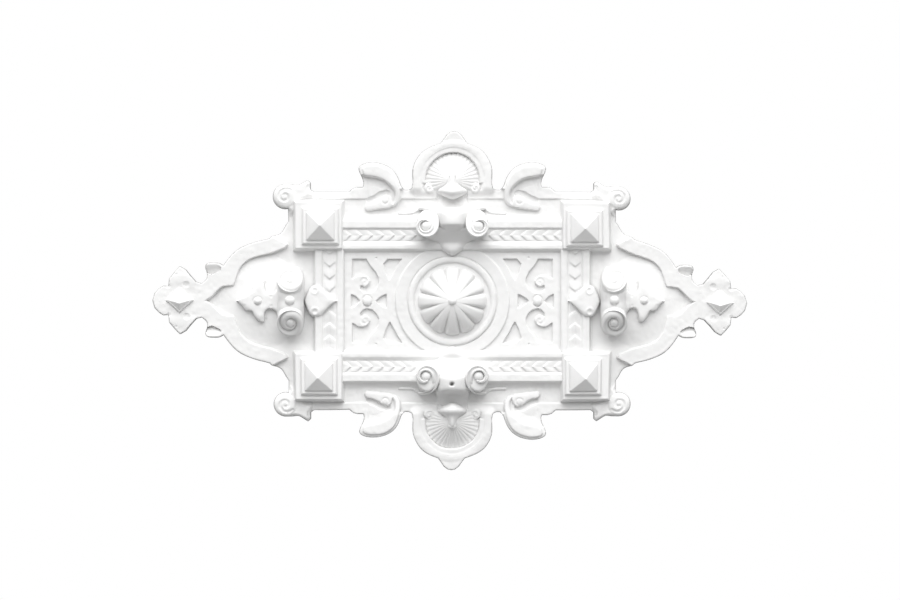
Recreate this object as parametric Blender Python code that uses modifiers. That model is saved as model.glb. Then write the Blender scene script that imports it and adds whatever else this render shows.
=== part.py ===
"""Ceiling rosette: one long cast plaster ornament with carved relief.

The back is flat in the plane Y = 0 and the carved face looks towards -Y. X runs along the
rosette and Z across it. The origin is the middle of the flat back. Sizes are millimetres,
and a depth is a height of the relief in front of the back.
"""
import math

import bmesh
import bpy
from mathutils import Matrix, Vector

MM = 0.001
NAME = "ceiling_rosette"

# Overall sizes
HALF_LENGTH = 500.0
HALF_HEIGHT = 285.5
PLATE_TOP = 184.0
PLATE_SIDE = 276.0
NOTCH = 187.0

# Depths of the relief
BURIED = 5.0
CLEAR = 90.0
PLATE = 12.0
PANEL = 18.0
STRAP_SUNK = 5.0
BORDER = 21.0
FIELD_CROWN = 23.0
FRAME = 26.0
CHANNEL = 22.5
RIM = 24.0
SCROLL = 24.0
LEAF = 33.0

# Frame round the middle panel
FRAME_IN_X = 182.0
FRAME_IN_Z = 84.0
FILLET = 13.0
BAND = 23.5
FRAME_WIDTH = 49.0
COVE = 13.0

# Medallion
RING_OUT = 98.0
RING_DEPTH = 21.0
RING_FLOOR = 19.5
TORUS_OUT = 75.0
TORUS_IN = 65.0
TORUS_DEPTH = 24.0
DOME_RADIUS = 56.5
DOME_BASE = 15.0
DOME_DEPTH = 57.0
DOME_LOBES = 12
DOME_LOBE_CUT = 0.13
RING_STEPS = 40
BUTTON_RADIUS = 9.0
BUTTON_RISE = 5.0

# Bosses at the corners of the frame
BOSS_X = 225.8
BOSS_Z = 127.5
# Half sizes at the back and the front, then the depths of the back and the front
BOSS_STEPS = ((40.5, 38.5, BURIED, 33.0), (31.0, 29.5, 32.0, 40.0), (25.5, 24.5, 39.0, 43.0))
BOSS_PYRAMID = 24.0
BOSS_APEX = 62.0

# Corner scrolls
EAR_X = 282.0
EAR_Z = 174.5
EAR_RADIUS = 21.4

# Cartouches above and below
SHELL_Z = 187.0
SHELL_RADIUS = 47.0
SHELL_DEPTH = 37.0
SHELL_FLUTES = 24
SHELL_FLUTE_CUT = 0.12
SHELL_BASE = 9.0
BOWL_Z = 204.0
BOWL_X_RADIUS = 45.0
BOWL_Z_RADIUS = 47.0
BOWL_SILL = 190.0
KNOB_Z = 185.5
KNOB_SIZE = (26.5, 30.0, 14.0)
KNOB_MIDDLE = 24.0

# Consoles above and below the panel
VOLUTE_X = 45.4
VOLUTE_Z = 127.0
VOLUTE_RADIUS = 16.5
VOLUTE_DEPTH = 64.0
CONSOLE_DEPTH = 71.0

# Brackets at the two sides
BRACKET_X = 271.5
ROLL_Z = 33.0
ROLL_RADIUS = 22.0
ROLL_DEPTH = 51.0
ROLL_THICK = 32.0
COIL_STANDS = 3.0
ROLL_TILT = math.radians(32)
LEAF_BEAD_X = 324.0

# Crosses at the two ends
CROSS_X = 454.3
DIAMOND_HALF = 18.0
DIAMOND_APEX = 38.0

# Points of an outline nearer than this are one point
SAME_POINT = 0.2
# Vertices of one piece nearer than this are welded, in metres
WELD = 0.00001
# Half size of the small flat at the top of a pyramid
POINT_TOP = 0.4

# Stands a flat shape up, so that what was its top looks towards -Y
STAND_UP = Matrix(((1, 0, 0, 0), (0, 0, -1, 0), (0, 1, 0, 0), (0, 0, 0, 1)))


def smooth(points):
    """A smooth curve through a few points, with its two ends kept and one point added in each span."""
    ends = [points[0]] + list(points) + [points[-1]]
    curve = [tuple(points[0])]
    for a, b, c, d in zip(ends, ends[1:], ends[2:], ends[3:]):
        curve.append(tuple((9 * (q + r) - p - s) / 16 for p, q, r, s in zip(a, b, c, d)))
        curve.append(tuple(c))
    return curve


def join_runs(*runs):
    """Puts runs of points end to end, dropping points that repeat."""
    line = []
    for run in runs:
        for point in run:
            if not line or math.dist(point, line[-1]) > SAME_POINT:
                line.append(tuple(point))
    return line


def arc(centre, radius, start, end, count):
    """Points on an arc, from one angle to another in degrees."""
    angles = [math.radians(start + (end - start) * i / count) for i in range(count + 1)]
    return [(centre[0] + radius * math.cos(a), centre[1] + radius * math.sin(a)) for a in angles]


def flipped(points, x=1, z=1):
    """The points mirrored in X, in Z or in both."""
    return [(px * x, pz * z) for px, pz in points]


def closed_by_mirrors(quarter):
    """The whole outline from its quarter, which runs from the top middle to the right end."""
    half = join_runs(quarter, flipped(quarter[::-1], z=-1))
    whole = join_runs(half, flipped(half[::-1], x=-1))
    if math.dist(whole[0], whole[-1]) < SAME_POINT:
        whole.pop()
    return whole


def cartouche_edge():
    """Right half of the top cartouche, from the finial to the notch beside it."""
    finial = [(0, HALF_HEIGHT), (6, 284.5), (13, 279), (18.5, 271), (22.5, 265.5)]
    shoulder = smooth([(22.5, 265.5), (38, 259.5), (51.5, 251), (61.5, 237.5), (67, 221), (66.5, 199)])
    return join_runs(finial, shoulder, [(68.5, 189.5), (74, NOTCH)])


def leaf_edge():
    """Outer edge of the C-shaped leaf, from the notch to its tip and back to the plate."""
    back = [(80, NOTCH), (87, 198), (92, 211), (101, 222), (114, 229.5), (129, 233), (143, 232.5), (153, 229)]
    tip = [(157.5, 223.5), (156, 216), (151.5, 206), (149.5, 197), (151, 192)]
    return join_runs(back, tip, [(160, 192), (167, 190), (174, PLATE_TOP)])


def ear_edge():
    """Horn, ribbon and round scroll at the corner of the plate."""
    horn = [(233, PLATE_TOP), (238.5, 188), (238.5, 199), (243.5, 203.5)]
    ribbon_edge = [(252, 198.5), (260, 194.5), (270, 195.5)]
    return join_runs(horn, ribbon_edge, arc((EAR_X, EAR_Z), EAR_RADIUS, 95, -104, 11))


def lobe_edge():
    """Outer edge of the ogee lobe, from the plate to the notch beside the end cross."""
    shoulder = [(PLATE_SIDE, 130), (281.5, 122), (289, 114), (299, 111), (307, 105.5)]
    sweep = smooth([(307, 105.5), (331, 99), (354, 89), (369.5, 75.5), (382, 58.5)])
    tab = [(389, 62.5), (399, 63), (409, 61.5), (412, 55), (409, 45.5), (410, 36), (418, 28.7)]
    return join_runs(shoulder, sweep, tab)


def cross_edge():
    """Upper edge of the end cross: one petal up, and half of the petal that points out."""
    upper = [(-27.5, 31), (-18.5, 41), (-10, 51.5), (0, 57.3), (9, 47.5), (17.5, 37), (19, 24.5)]
    outer = [(27.5, 25), (35, 20), (42, 12.5), (HALF_LENGTH - CROSS_X, 0)]
    return [(CROSS_X + x, z) for x, z in join_runs(upper, outer)]


def whole_outline():
    """The outline of the whole rosette."""
    return closed_by_mirrors(join_runs(
        cartouche_edge(), leaf_edge(), ear_edge(), lobe_edge(), cross_edge()))


def ribbon(centre_line, widths):
    """Outline of a band along a line; its half width runs through three values, by a parabola."""
    left, right = [], []
    last = len(centre_line) - 1
    first_half, middle_half, last_half = widths
    for i, (x, z) in enumerate(centre_line):
        ahead = centre_line[min(i + 1, last)]
        behind = centre_line[max(i - 1, 0)]
        run = Vector((ahead[0] - behind[0], ahead[1] - behind[1])).normalized()
        t = i / last
        half = (first_half * (1 - t) * (1 - 2 * t) + 4 * middle_half * t * (1 - t)
                + last_half * t * (2 * t - 1))
        left.append((x - run.y * half, z + run.x * half))
        right.append((x + run.y * half, z - run.x * half))
    return left + right[::-1]


def spiral(centre, radius_out, radius_in, start, turns, hand, count):
    """Points of a spiral that winds in, by one ratio for each step; hand is 1 or -1."""
    points = []
    for i in range(count + 1):
        t = i / count
        angle = math.radians(start) + hand * turns * math.tau * t
        radius = radius_out * (radius_in / radius_out) ** t
        points.append((centre[0] + radius * math.cos(angle), centre[1] + radius * math.sin(angle)))
    return points


def ground_edge():
    """Edge of the low ground, from the top middle round to the neck of the end cross.

    It passes outside the plate's edge wherever the ground runs out to that edge.
    """
    beside_shell = [(0, 186), (70, 186), (73, 195), (80.5, 195), (83, 186), (97, 186)]
    in_leaf = [(101, 190), (109, 199), (122, 208), (138, 212.5), (151, 213), (164, 210), (170, 202)]
    in_ear = [(228, 202), (236, 186), (250, 184), (260, 178), (264, 166), (270, 153.5),
              (292, 152), (292, 136)]
    beside_lobe = [(PLATE_SIDE - 1, 133)]
    wide = [(PLATE_SIDE - 1, 95), (290, 87), (305, 81), (331, 74), (346.5, 65.5), (357, 52), (363.5, 32)]
    neck = [(366, 26), (382.5, 24.5), (393, 17), (401, 8), (413, 0)]
    return join_runs(beside_shell, in_leaf, in_ear, beside_lobe, wide, neck)


def new_object(name, mesh, collection):
    """Puts a mesh in an object of its own."""
    made = bpy.data.objects.new(name, mesh)
    collection.objects.link(made)
    return made


def evaluated(helper):
    """The welded mesh that a curve or a modifier makes; the helper object is removed."""
    bpy.context.view_layer.update()
    graph = bpy.context.evaluated_depsgraph_get()
    bm = bmesh.new()
    bm.from_mesh(bpy.data.meshes.new_from_object(helper.evaluated_get(graph)))
    bmesh.ops.remove_doubles(bm, verts=bm.verts, dist=WELD)
    bpy.data.objects.remove(helper)
    return bm


def from_bmesh(name, bm, collection):
    """Ends a bmesh: outward faces, then an object."""
    bmesh.ops.recalc_face_normals(bm, faces=bm.faces)
    if bm.calc_volume(signed=True) < 0:
        bmesh.ops.reverse_faces(bm, faces=bm.faces)
    mesh = bpy.data.meshes.new(name)
    bm.to_mesh(mesh)
    bm.free()
    return new_object(name, mesh, collection)


def slab(name, outline, back, front, collection, turn=None):
    """A flat outline in X and Z, from one depth to another."""
    data = bpy.data.curves.new(name, "CURVE")
    data.dimensions = "2D"
    data.fill_mode = "BOTH"
    data.extrude = (front - back) / 2 * MM
    spline = data.splines.new("POLY")
    spline.points.add(len(outline) - 1)
    for point, (x, z) in zip(spline.points, outline):
        point.co = (x * MM, z * MM, 0, 1)
    spline.use_cyclic_u = True
    bm = evaluated(new_object(name + "_curve", data, collection))
    bm.transform(Matrix.Translation((0, 0, (front + back) / 2 * MM)))
    bm.transform(STAND_UP)
    bm.transform(turn or Matrix.Identity(4))
    return from_bmesh(name, bm, collection)


def frustum(name, centre, half_back, half_front, back, front, collection, turn=math.pi / 4, sides=4):
    """A turned or four-sided block that narrows towards the front."""
    across = math.sqrt(2) if sides == 4 else 1.0
    bm = bmesh.new()
    bmesh.ops.create_cone(bm, cap_ends=True, segments=sides, radius1=half_back * across * MM,
                          radius2=half_front * across * MM, depth=(front - back) * MM)
    bm.transform(Matrix.Rotation(turn, 4, "Z"))
    bm.transform(STAND_UP)
    bm.transform(Matrix.Translation((centre[0] * MM, -(front + back) / 2 * MM, centre[1] * MM)))
    return from_bmesh(name, bm, collection)


def cut_away(bm, place, outward):
    """Cuts off what lies beyond a plane and closes the cut."""
    everything = bm.verts[:] + bm.edges[:] + bm.faces[:]
    cut = bmesh.ops.bisect_plane(bm, geom=everything, dist=1e-7, plane_co=place, plane_no=outward,
                                 clear_outer=True)["geom_cut"]
    edges = [item for item in cut if isinstance(item, bmesh.types.BMEdge)]
    bmesh.ops.holes_fill(bm, edges=edges, sides=0)


def egg(name, centre, middle, sizes, collection, around=8, along=6):
    """A sphere pulled out to three half sizes, with its middle at one depth."""
    bm = bmesh.new()
    bmesh.ops.create_uvsphere(bm, u_segments=around, v_segments=along, radius=MM)
    bm.transform(STAND_UP)
    bm.transform(Matrix.Diagonal((*sizes, 1)))
    bm.transform(Matrix.Translation((centre[0] * MM, -middle * MM, centre[1] * MM)))
    if middle - sizes[1] < BURIED:
        cut_away(bm, (0, -BURIED * MM, 0), (0, 1, 0))
    return from_bmesh(name, bm, collection)


def lobed_dome(name, centre, radius, base, top, lobes, cut, collection, steps=4, along=10, half=False):
    """A dome with rounded lobes: a sphere whose width swings in between the lobes."""
    bm = bmesh.new()
    bmesh.ops.create_uvsphere(bm, u_segments=lobes * steps, v_segments=along, radius=1)
    for vertex in bm.verts:
        angle = math.atan2(vertex.co.y, vertex.co.x)
        ridge = abs(math.sin(lobes / 2 * angle))
        reach = math.hypot(vertex.co.x, vertex.co.y)
        vertex.co *= 1 - cut * (1 - ridge) * reach
    bm.transform(STAND_UP)
    bm.transform(Matrix.Diagonal((radius * MM, (top - base) * MM, radius * MM, 1)))
    bm.transform(Matrix.Translation((centre[0] * MM, -base * MM, centre[1] * MM)))
    cut_away(bm, (0, -BURIED * MM, 0), (0, 1, 0))
    if half:
        cut_away(bm, (0, 0, centre[1] * MM), (0, 0, -1))
    return from_bmesh(name, bm, collection)


def turned(name, profile, collection, steps):
    """A ring turned from a profile of radius and depth, given from the front to the back."""
    mesh = bpy.data.meshes.new(name)
    points = [(radius * MM, 0, depth * MM) for radius, depth in profile]
    mesh.from_pydata(points, [(i, i + 1) for i in range(len(points) - 1)], [])
    ring = new_object(name + "_profile", mesh, collection)
    screw = ring.modifiers.new("turn", "SCREW")
    screw.steps = steps
    screw.render_steps = steps
    screw.use_merge_vertices = True
    screw.merge_threshold = WELD
    bm = evaluated(ring)
    bm.transform(STAND_UP)
    return from_bmesh(name, bm, collection)


def bar(name, profile, reach, along_x, collection):
    """A moulding: a profile of place and depth carried along X or Z, as far to both sides."""
    bm = bmesh.new()
    for place in (-reach, reach):
        corners = [(place, -depth, across) if along_x else (across, -depth, place)
                   for across, depth in profile]
        bm.faces.new([bm.verts.new([value * MM for value in corner]) for corner in corners])
    bmesh.ops.bridge_loops(bm, edges=bm.edges[:])
    return from_bmesh(name, bm, collection)


def loft(name, stations, collection, centre, sides, power):
    """A swelling body along Z: at each place a rounded arch of its own width and depth."""
    bm = bmesh.new()
    rings = []
    for place, half, depth in stations:
        ring = []
        for i in range(sides + 1):
            angle = math.pi * i / sides
            x = centre + math.copysign(abs(math.cos(angle)) ** (2 / power), math.cos(angle)) * half
            y = BURIED + abs(math.sin(angle)) ** (2 / power) * (depth - BURIED)
            ring.append(bm.verts.new((x * MM, -y * MM, place * MM)))
        rings.append(ring)
        if len(rings) > 1:
            lower, upper = rings[-2:]
            for i in range(sides + 1):
                bm.faces.new((lower[i - 1], lower[i], upper[i], upper[i - 1]))
    bm.faces.new(rings[0])
    bm.faces.new(rings[-1][::-1])
    return from_bmesh(name, bm, collection)


def with_mirrors(made, x=False, z=False):
    """Adds the mirrored copies of a piece to it, in X, in Z or in both."""
    bm = bmesh.new()
    bm.from_mesh(made.data)
    for wanted, scale in ((x, (-1, 1, 1, 1)), (z, (1, 1, -1, 1))):
        if wanted:
            copies = bmesh.ops.duplicate(bm, geom=bm.verts[:] + bm.edges[:] + bm.faces[:])["geom"]
            verts = [item for item in copies if isinstance(item, bmesh.types.BMVert)]
            faces = [item for item in copies if isinstance(item, bmesh.types.BMFace)]
            bmesh.ops.transform(bm, matrix=Matrix.Diagonal(scale), verts=verts)
            bmesh.ops.reverse_faces(bm, faces=faces)
    bm.to_mesh(made.data)
    bm.free()
    return made


def moulding_profile(inner, top, drop_in, drop_out, run_out):
    """Frame profile from its inner edge: fillet, sunk channel, fillet and the slope to the plate."""
    channel = inner + FILLET
    outer = inner + FRAME_WIDTH
    return [(inner, BURIED), (inner, top - 1.5), (inner + 2, top), (channel, top),
            (channel + drop_in, CHANNEL), (inner + FILLET + BAND, CHANNEL),
            (inner + FILLET + BAND + drop_out, top), (outer, top), (outer + run_out, PLATE - 1),
            (outer + run_out, BURIED)]


def ground_cutters(tools):
    """The low ground of the plate and lobes, and the bowls of the cartouches."""
    yield slab("ground", closed_by_mirrors(ground_edge()), PLATE, CLEAR, tools)
    arch = [(BOWL_X_RADIUS * x, BOWL_Z + BOWL_Z_RADIUS * z) for x, z in arc((0, 0), 1.0, 0, 180, 14)]
    edge = join_runs([(48, BOWL_SILL)], arch, [(-48, BOWL_SILL)])
    yield with_mirrors(slab("bowl_cut", edge, PLATE - 1, CLEAR, tools), z=True)


def frame_pieces(tools):
    """The moulded frame, the panel inside it and the turned medallion."""
    across = moulding_profile(FRAME_IN_Z, FRAME, 3.0, 0.7, COVE)
    yield with_mirrors(bar("frame_across", across, BOSS_X, True, tools), z=True)
    upright = moulding_profile(FRAME_IN_X, FRAME - 0.4, 1.5, 1.5, 2.0)
    yield with_mirrors(bar("frame_upright", upright, BOSS_Z - 30, False, tools), x=True)
    corner = (FRAME_IN_X + 3, FRAME_IN_Z + 3)
    edge = flipped([corner], -1, -1) + flipped([corner], 1, -1) + [corner] + flipped([corner], -1, 1)
    yield slab("panel", edge, BURIED, PANEL, tools)
    ring = [(0, RING_FLOOR), (TORUS_IN, RING_FLOOR), (TORUS_IN + 2, TORUS_DEPTH),
            (TORUS_OUT - 2, TORUS_DEPTH), (TORUS_OUT, RING_FLOOR), (TORUS_OUT + 1, RING_DEPTH),
            (RING_OUT, RING_DEPTH), (RING_OUT, BURIED + 2), (0, BURIED + 2)]
    yield turned("medallion", ring, tools, RING_STEPS)
    yield lobed_dome("dome", (0, 0), DOME_RADIUS, DOME_BASE, DOME_DEPTH, DOME_LOBES, DOME_LOBE_CUT, tools)
    yield egg("button", (0, 0), DOME_DEPTH - 1, (BUTTON_RADIUS, BUTTON_RISE, BUTTON_RADIUS), tools)


def strapwork_cutters(tools):
    """The sunk shapes that leave the strapwork standing at both ends of the panel."""
    hook = [(168, 69), (152, 70), (139, 62), (128, 50), (124, 34), (127, 20), (137, 13.5), (168, 13.5)]
    curl = [(168, 22), (150, 22), (141, 21), (134, 28), (135, 42), (146, 49), (158, 45), (168, 56)]
    triangle = [(113, 69.5), (87, 69.5), (105, 39)]
    for name, shape in (("scroll_cut", hook + curl), ("corner_cut", triangle)):
        yield with_mirrors(slab(name, shape, PANEL - STRAP_SUNK, CLEAR, tools), x=True, z=True)


def boss_pieces(tools):
    """The stepped square bosses with a pyramid on each."""
    for number, (back_half, front_half, back, front) in enumerate(BOSS_STEPS):
        step = frustum(f"boss_step_{number}", (BOSS_X, BOSS_Z), back_half, front_half, back, front, tools)
        yield with_mirrors(step, x=True, z=True)
    point = frustum("boss_point", (BOSS_X, BOSS_Z), BOSS_PYRAMID, POINT_TOP,
                    BOSS_STEPS[-1][-1] - 1, BOSS_APEX, tools)
    yield with_mirrors(point, x=True, z=True)


def corner_pieces(tools):
    """The C-shaped leaves and the small scrolls at the plate's corners."""
    line = [(152, 221), (142, 223.5), (126, 221), (110, 212), (98, 198), (91.5, 183),
            (91, 168), (98, 157), (110, 154), (119, 160)]
    tail = [(108, 176), (122, 174), (135, 165), (148, 156), (134, 153), (108, 152)]
    coil = spiral((EAR_X, EAR_Z), 16.0, 5.0, 100, 1.1, -1, 9)
    pieces = (
        slab("leaf", ribbon(line, (2.0, 9.0, 3.0)), BURIED, SCROLL, tools),
        slab("leaf_tail", tail, BURIED, SCROLL - 3.6, tools),
        egg("leaf_eye", (114, 166), SCROLL - 2, (9, 7, 9), tools),
        slab("ear_coil", ribbon(coil, (3.2, 2.5, 1.8)), BURIED, BORDER + 3, tools),
        egg("ear_eye", (EAR_X, EAR_Z), BORDER - 2, (6, 6, 6), tools, 6, 4))
    for piece in pieces:
        yield with_mirrors(piece, x=True, z=True)


def cartouche_pieces(tools):
    """The raised rim, the fluted shell and the knob of the cartouches."""
    rim_line = [((BOWL_X_RADIUS + 10.5) * x, BOWL_Z - 1 + (BOWL_Z_RADIUS + 5.5) * z)
                for x, z in arc((0, 0), 1.0, -12, 192, 12)]
    pieces = (
        slab("rim", ribbon(rim_line, (6.0, 6.0, 6.0)), BURIED, RIM, tools),
        lobed_dome("shell", (0, SHELL_Z), SHELL_RADIUS, SHELL_BASE, SHELL_DEPTH, SHELL_FLUTES,
                   SHELL_FLUTE_CUT, tools, steps=2, along=8, half=True),
        egg("knob", (0, KNOB_Z), KNOB_MIDDLE, KNOB_SIZE, tools, 12, 8))
    for piece in pieces:
        yield with_mirrors(piece, z=True)


def console_pieces(tools):
    """The scrolled consoles above and below the panel."""
    saddle = [(170, 24, 26), (163, 26, 44), (155, 27, 56), (146, 26, 66), (136, 25, CONSOLE_DEPTH),
              (127, 25, 68), (116, 24, 56), (104, 22, 40)]
    bowl = [(131, 54, 50), (118, 59, 52), (110, 55, 47), (103, 48, 42), (95, 35, 37),
            (89, 21, 33), (83, 13, 30), (76, 3, 27)]
    for piece in (loft("saddle", saddle, tools, 0, 8, 2.6), loft("bowl", bowl, tools, 0, 8, 2.2)):
        yield with_mirrors(piece, z=True)
    centre = (VOLUTE_X, VOLUTE_Z)
    face = VOLUTE_DEPTH - 4
    arm = [(57, 154), (45, 157), (33, 154), (27, 145)]
    coil = join_runs(arm, spiral(centre, 15.0, 5.0, 160, 1.2, 1, 10))
    wing = [(57, 154), (64, 150), (88, 150.5), (88, 147), (55, 146)]
    pieces = (
        frustum("volute", centre, VOLUTE_RADIUS + 1, VOLUTE_RADIUS - 1, BURIED, face, tools, 0, 14),
        slab("volute_coil", ribbon(coil, (3.6, 2.7, 1.8)), BURIED, VOLUTE_DEPTH, tools),
        egg("volute_eye", centre, face, (6.5, 6, 6.5), tools, 6, 4),
        slab("wing", wing, BURIED, FRAME + 2, tools))
    for piece in pieces:
        yield with_mirrors(piece, x=True, z=True)


def roll_turn(sign):
    """The place of a bracket's roll, tilted to look away from the middle; sign is 1 above, -1 below."""
    return (Matrix.Translation((BRACKET_X * MM, -ROLL_DEPTH * MM, sign * ROLL_Z * MM))
            @ Matrix.Rotation(-sign * ROLL_TILT, 4, "X"))


def roll(name, sign, tools):
    """A round roll whose face stands at its origin, narrower at its back."""
    bm = bmesh.new()
    bmesh.ops.create_cone(bm, cap_ends=True, segments=16, radius1=(ROLL_RADIUS - 3) * MM,
                          radius2=ROLL_RADIUS * MM, depth=ROLL_THICK * MM)
    bm.transform(Matrix.Translation((0, 0, -ROLL_THICK / 2 * MM)))
    bm.transform(roll_turn(sign) @ STAND_UP)
    return from_bmesh(name, bm, tools)


def bracket_pieces(tools):
    """The upright brackets at the sides, with their rolls, leaves and beads."""
    foot = [(50, 19, 20), (40, 21.5, 34), (30, 22.5, 46), (20, 22.5, 57), (12, 22, 60)]
    post = [(-z, half, depth) for z, half, depth in foot] + [(0, 22, 57)] + foot[::-1]
    leaf = [(285, 14), (297, 14), (299, 26), (306, 36), (317, 38), (327, 33), (333, 24),
            (337, 14.5), (344, 16), (352, 9), (362, 0)]
    inner = [(256, 4), (250, 13), (239, 22), (226.5, 25.3), (217, 21.5), (209, 13), (194.5, 0)]
    yield with_mirrors(egg("field", (322, 0), 8, (74, FIELD_CROWN - 8, 84), tools, 16, 8), x=True)
    yield with_mirrors(loft("post", post, tools, BRACKET_X, 6, 5.0), x=True)
    for sign, label in ((1, "upper"), (-1, "lower")):
        yield with_mirrors(roll(f"roll_{label}", sign, tools), x=True)
        coil = ribbon(spiral((0, 0), 17.5, 5.0, 200 * sign, 1.3, sign, 11), (3.4, 2.6, 1.8))
        yield with_mirrors(slab(f"roll_coil_{label}", coil, -4, COIL_STANDS, tools, roll_turn(sign)), x=True)
    for name, edge, depth in (("cross_leaf", leaf, LEAF), ("diamond_leaf", inner, LEAF + 0.6)):
        outline = join_runs(edge, flipped(edge[::-1], z=-1))
        yield with_mirrors(slab(name, outline, BURIED, depth, tools), x=True)
    yield with_mirrors(egg("leaf_bead", (LEAF_BEAD_X, 0), LEAF, (7.5, 7, 7.5), tools), x=True)
    yield with_mirrors(egg("post_bead", (BRACKET_X, 0), 59, (7.5, 8, 7.5), tools), x=True)


def end_pieces(tools):
    """The diamonds on the crosses at the two ends."""
    base = frustum("diamond_base", (CROSS_X, 0), DIAMOND_HALF, DIAMOND_HALF - 1, BURIED,
                   BORDER + 3, tools, 0)
    yield with_mirrors(base, x=True)
    point = frustum("diamond", (CROSS_X, 0), DIAMOND_HALF - 2.5, POINT_TOP, BORDER + 2,
                    DIAMOND_APEX, tools, 0)
    yield with_mirrors(point, x=True)


def plaster():
    """Matt white casting plaster."""
    made = bpy.data.materials.new("white_plaster")
    made.use_nodes = True
    shader = made.node_tree.nodes["Principled BSDF"]
    shader.inputs["Base Color"].default_value = (0.83, 0.82, 0.80, 1)
    shader.inputs["Roughness"].default_value = 0.85
    shader.inputs["Metallic"].default_value = 0.0
    return made


def main():
    """Builds the plate, lowers its ground, adds the relief and sinks the strapwork."""
    for old in list(bpy.data.objects):
        bpy.data.objects.remove(old)
    scene_root = bpy.context.scene.collection
    work = bpy.data.collections.new(NAME)
    tools = bpy.data.collections.new("rosette_tools")
    scene_root.children.link(work)
    scene_root.children.link(tools)

    rosette = slab(NAME, whole_outline(), 0, BORDER, work)
    steps = [(piece, "DIFFERENCE") for piece in ground_cutters(tools)]
    for maker in (frame_pieces, boss_pieces, corner_pieces, cartouche_pieces, console_pieces,
                  bracket_pieces, end_pieces):
        steps += [(piece, "UNION") for piece in maker(tools)]
    steps += [(piece, "DIFFERENCE") for piece in strapwork_cutters(tools)]
    for piece, operation in steps:
        step = rosette.modifiers.new(piece.name, "BOOLEAN")
        step.operation = operation
        step.solver = "MANIFOLD"
        step.object = piece
        piece.hide_render = True
        piece.display_type = "WIRE"
    rosette.data.materials.append(plaster())
    rosette.data.shade_smooth()
    rosette.data.set_sharp_from_angle(angle=math.radians(35))


main()
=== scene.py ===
"""Ceiling rosette in white casting plaster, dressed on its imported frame.

The back is flat in the plane Y = 0 and the relief looks towards -Y. Sizes are millimetres until a
mesh is made. A depth is a height of the relief in front of the back. The object is the same in its
four quarters, so most places are given as (x, z) in the quarter where both are positive.
"""
import logging
import math
from dataclasses import dataclass
from enum import Enum
from typing import Iterable, Sequence

import bpy
import numpy as np
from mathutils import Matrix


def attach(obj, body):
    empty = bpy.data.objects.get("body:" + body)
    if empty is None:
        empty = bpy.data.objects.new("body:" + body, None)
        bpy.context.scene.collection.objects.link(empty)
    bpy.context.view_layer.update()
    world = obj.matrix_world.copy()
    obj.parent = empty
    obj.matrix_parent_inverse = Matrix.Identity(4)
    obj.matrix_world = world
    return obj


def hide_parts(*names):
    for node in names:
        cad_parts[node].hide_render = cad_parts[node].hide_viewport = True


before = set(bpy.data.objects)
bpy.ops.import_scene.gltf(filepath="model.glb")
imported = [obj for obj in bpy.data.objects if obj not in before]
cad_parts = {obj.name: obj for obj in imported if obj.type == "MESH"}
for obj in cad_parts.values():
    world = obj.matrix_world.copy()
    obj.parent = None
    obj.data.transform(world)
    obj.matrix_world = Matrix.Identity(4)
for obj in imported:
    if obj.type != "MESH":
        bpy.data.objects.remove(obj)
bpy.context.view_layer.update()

LOG = logging.getLogger("rosette")
MM = 0.001
BODY = "root"
NODE = "ceiling_rosette"
Points = Sequence[tuple[float, float]]
Colour = tuple[float, float, float, float]
# A distance past all shapes, and the least divisor.
FAR, TINY = 1.0e3, 1e-12
# Depths in mm where the arched bodies start, and above which holes are drilled in them.
ARCH_FOOT, HOLE_FROM = 6.0, 11.0
# Numbers of the Mix node's sockets for colours.
MIX_SHARE, MIX_A, MIX_B, MIX_OUT = 0, 6, 7, 2


class Side(Enum):
    """Which quarter or half a mirrored form stands in, as the signs of X and Z."""

    UPPER_RIGHT = (1, 1)
    UPPER_LEFT = (-1, 1)
    LOWER_LEFT = (-1, -1)
    LOWER_RIGHT = (1, -1)


HALVES_UP = ((Side.UPPER_RIGHT, "upper"), (Side.LOWER_RIGHT, "lower"))
HALVES_ACROSS = ((Side.UPPER_RIGHT, "right"), (Side.UPPER_LEFT, "left"))

DRIFT: tuple[tuple[float, float, float, float], ...] = (
    (-454, 0, -4.5, 0.8), (454, 0, -4.2, -3.9), (-385, 0, -3, 0.5), (385, 0, -4.2, -1),
    (-400, 62, -4, 2), (400, 62, -7, -2), (-400, -62, -3.5, 1.7), (400, -62, -1, 1),
    (-345, 90, -1.5, 1), (345, 90, -3, -3), (345, -90, -1, -1), (-345, -90, -1, 0),
    (-325, 0, -1.3, 0), (325, 0, -4.3, 1), (282, 174, -3, -3.5), (-282, 174, 0, 1),
    (-282, -174, 2, 1.5), (282, -174, -3, 2), (0, 283, 3.0, 0), (0, -283, -1.8, 1),
    (-125, -232, 1.5, 6), (-150, -212, 2, 4),
    *((x, z, 0, 0) for x in (-270, -225, -180, -120, -60, 0, 60, 120, 180, 225, 270)
      for z in (-130, -80, -30, 30, 80, 130)),
    *((x, z, 0, 0) for x in (-200, -150, -100, -50, 0, 50, 100, 150, 200) for z in (-190, 190)))
DRIFT_REACH = 45.0
DRIFT_HOLD = 1e-3


def ease(share: np.ndarray) -> np.ndarray:
    """Smooth step: 0 below 0, 1 above 1, and 3t^2 - 2t^3 between.

    Args:
        share: How far along the step each point is.

    Returns:
        The eased share.
    """
    t = np.clip(share, 0.0, 1.0)
    return t * t * (3.0 - 2.0 * t)


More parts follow.
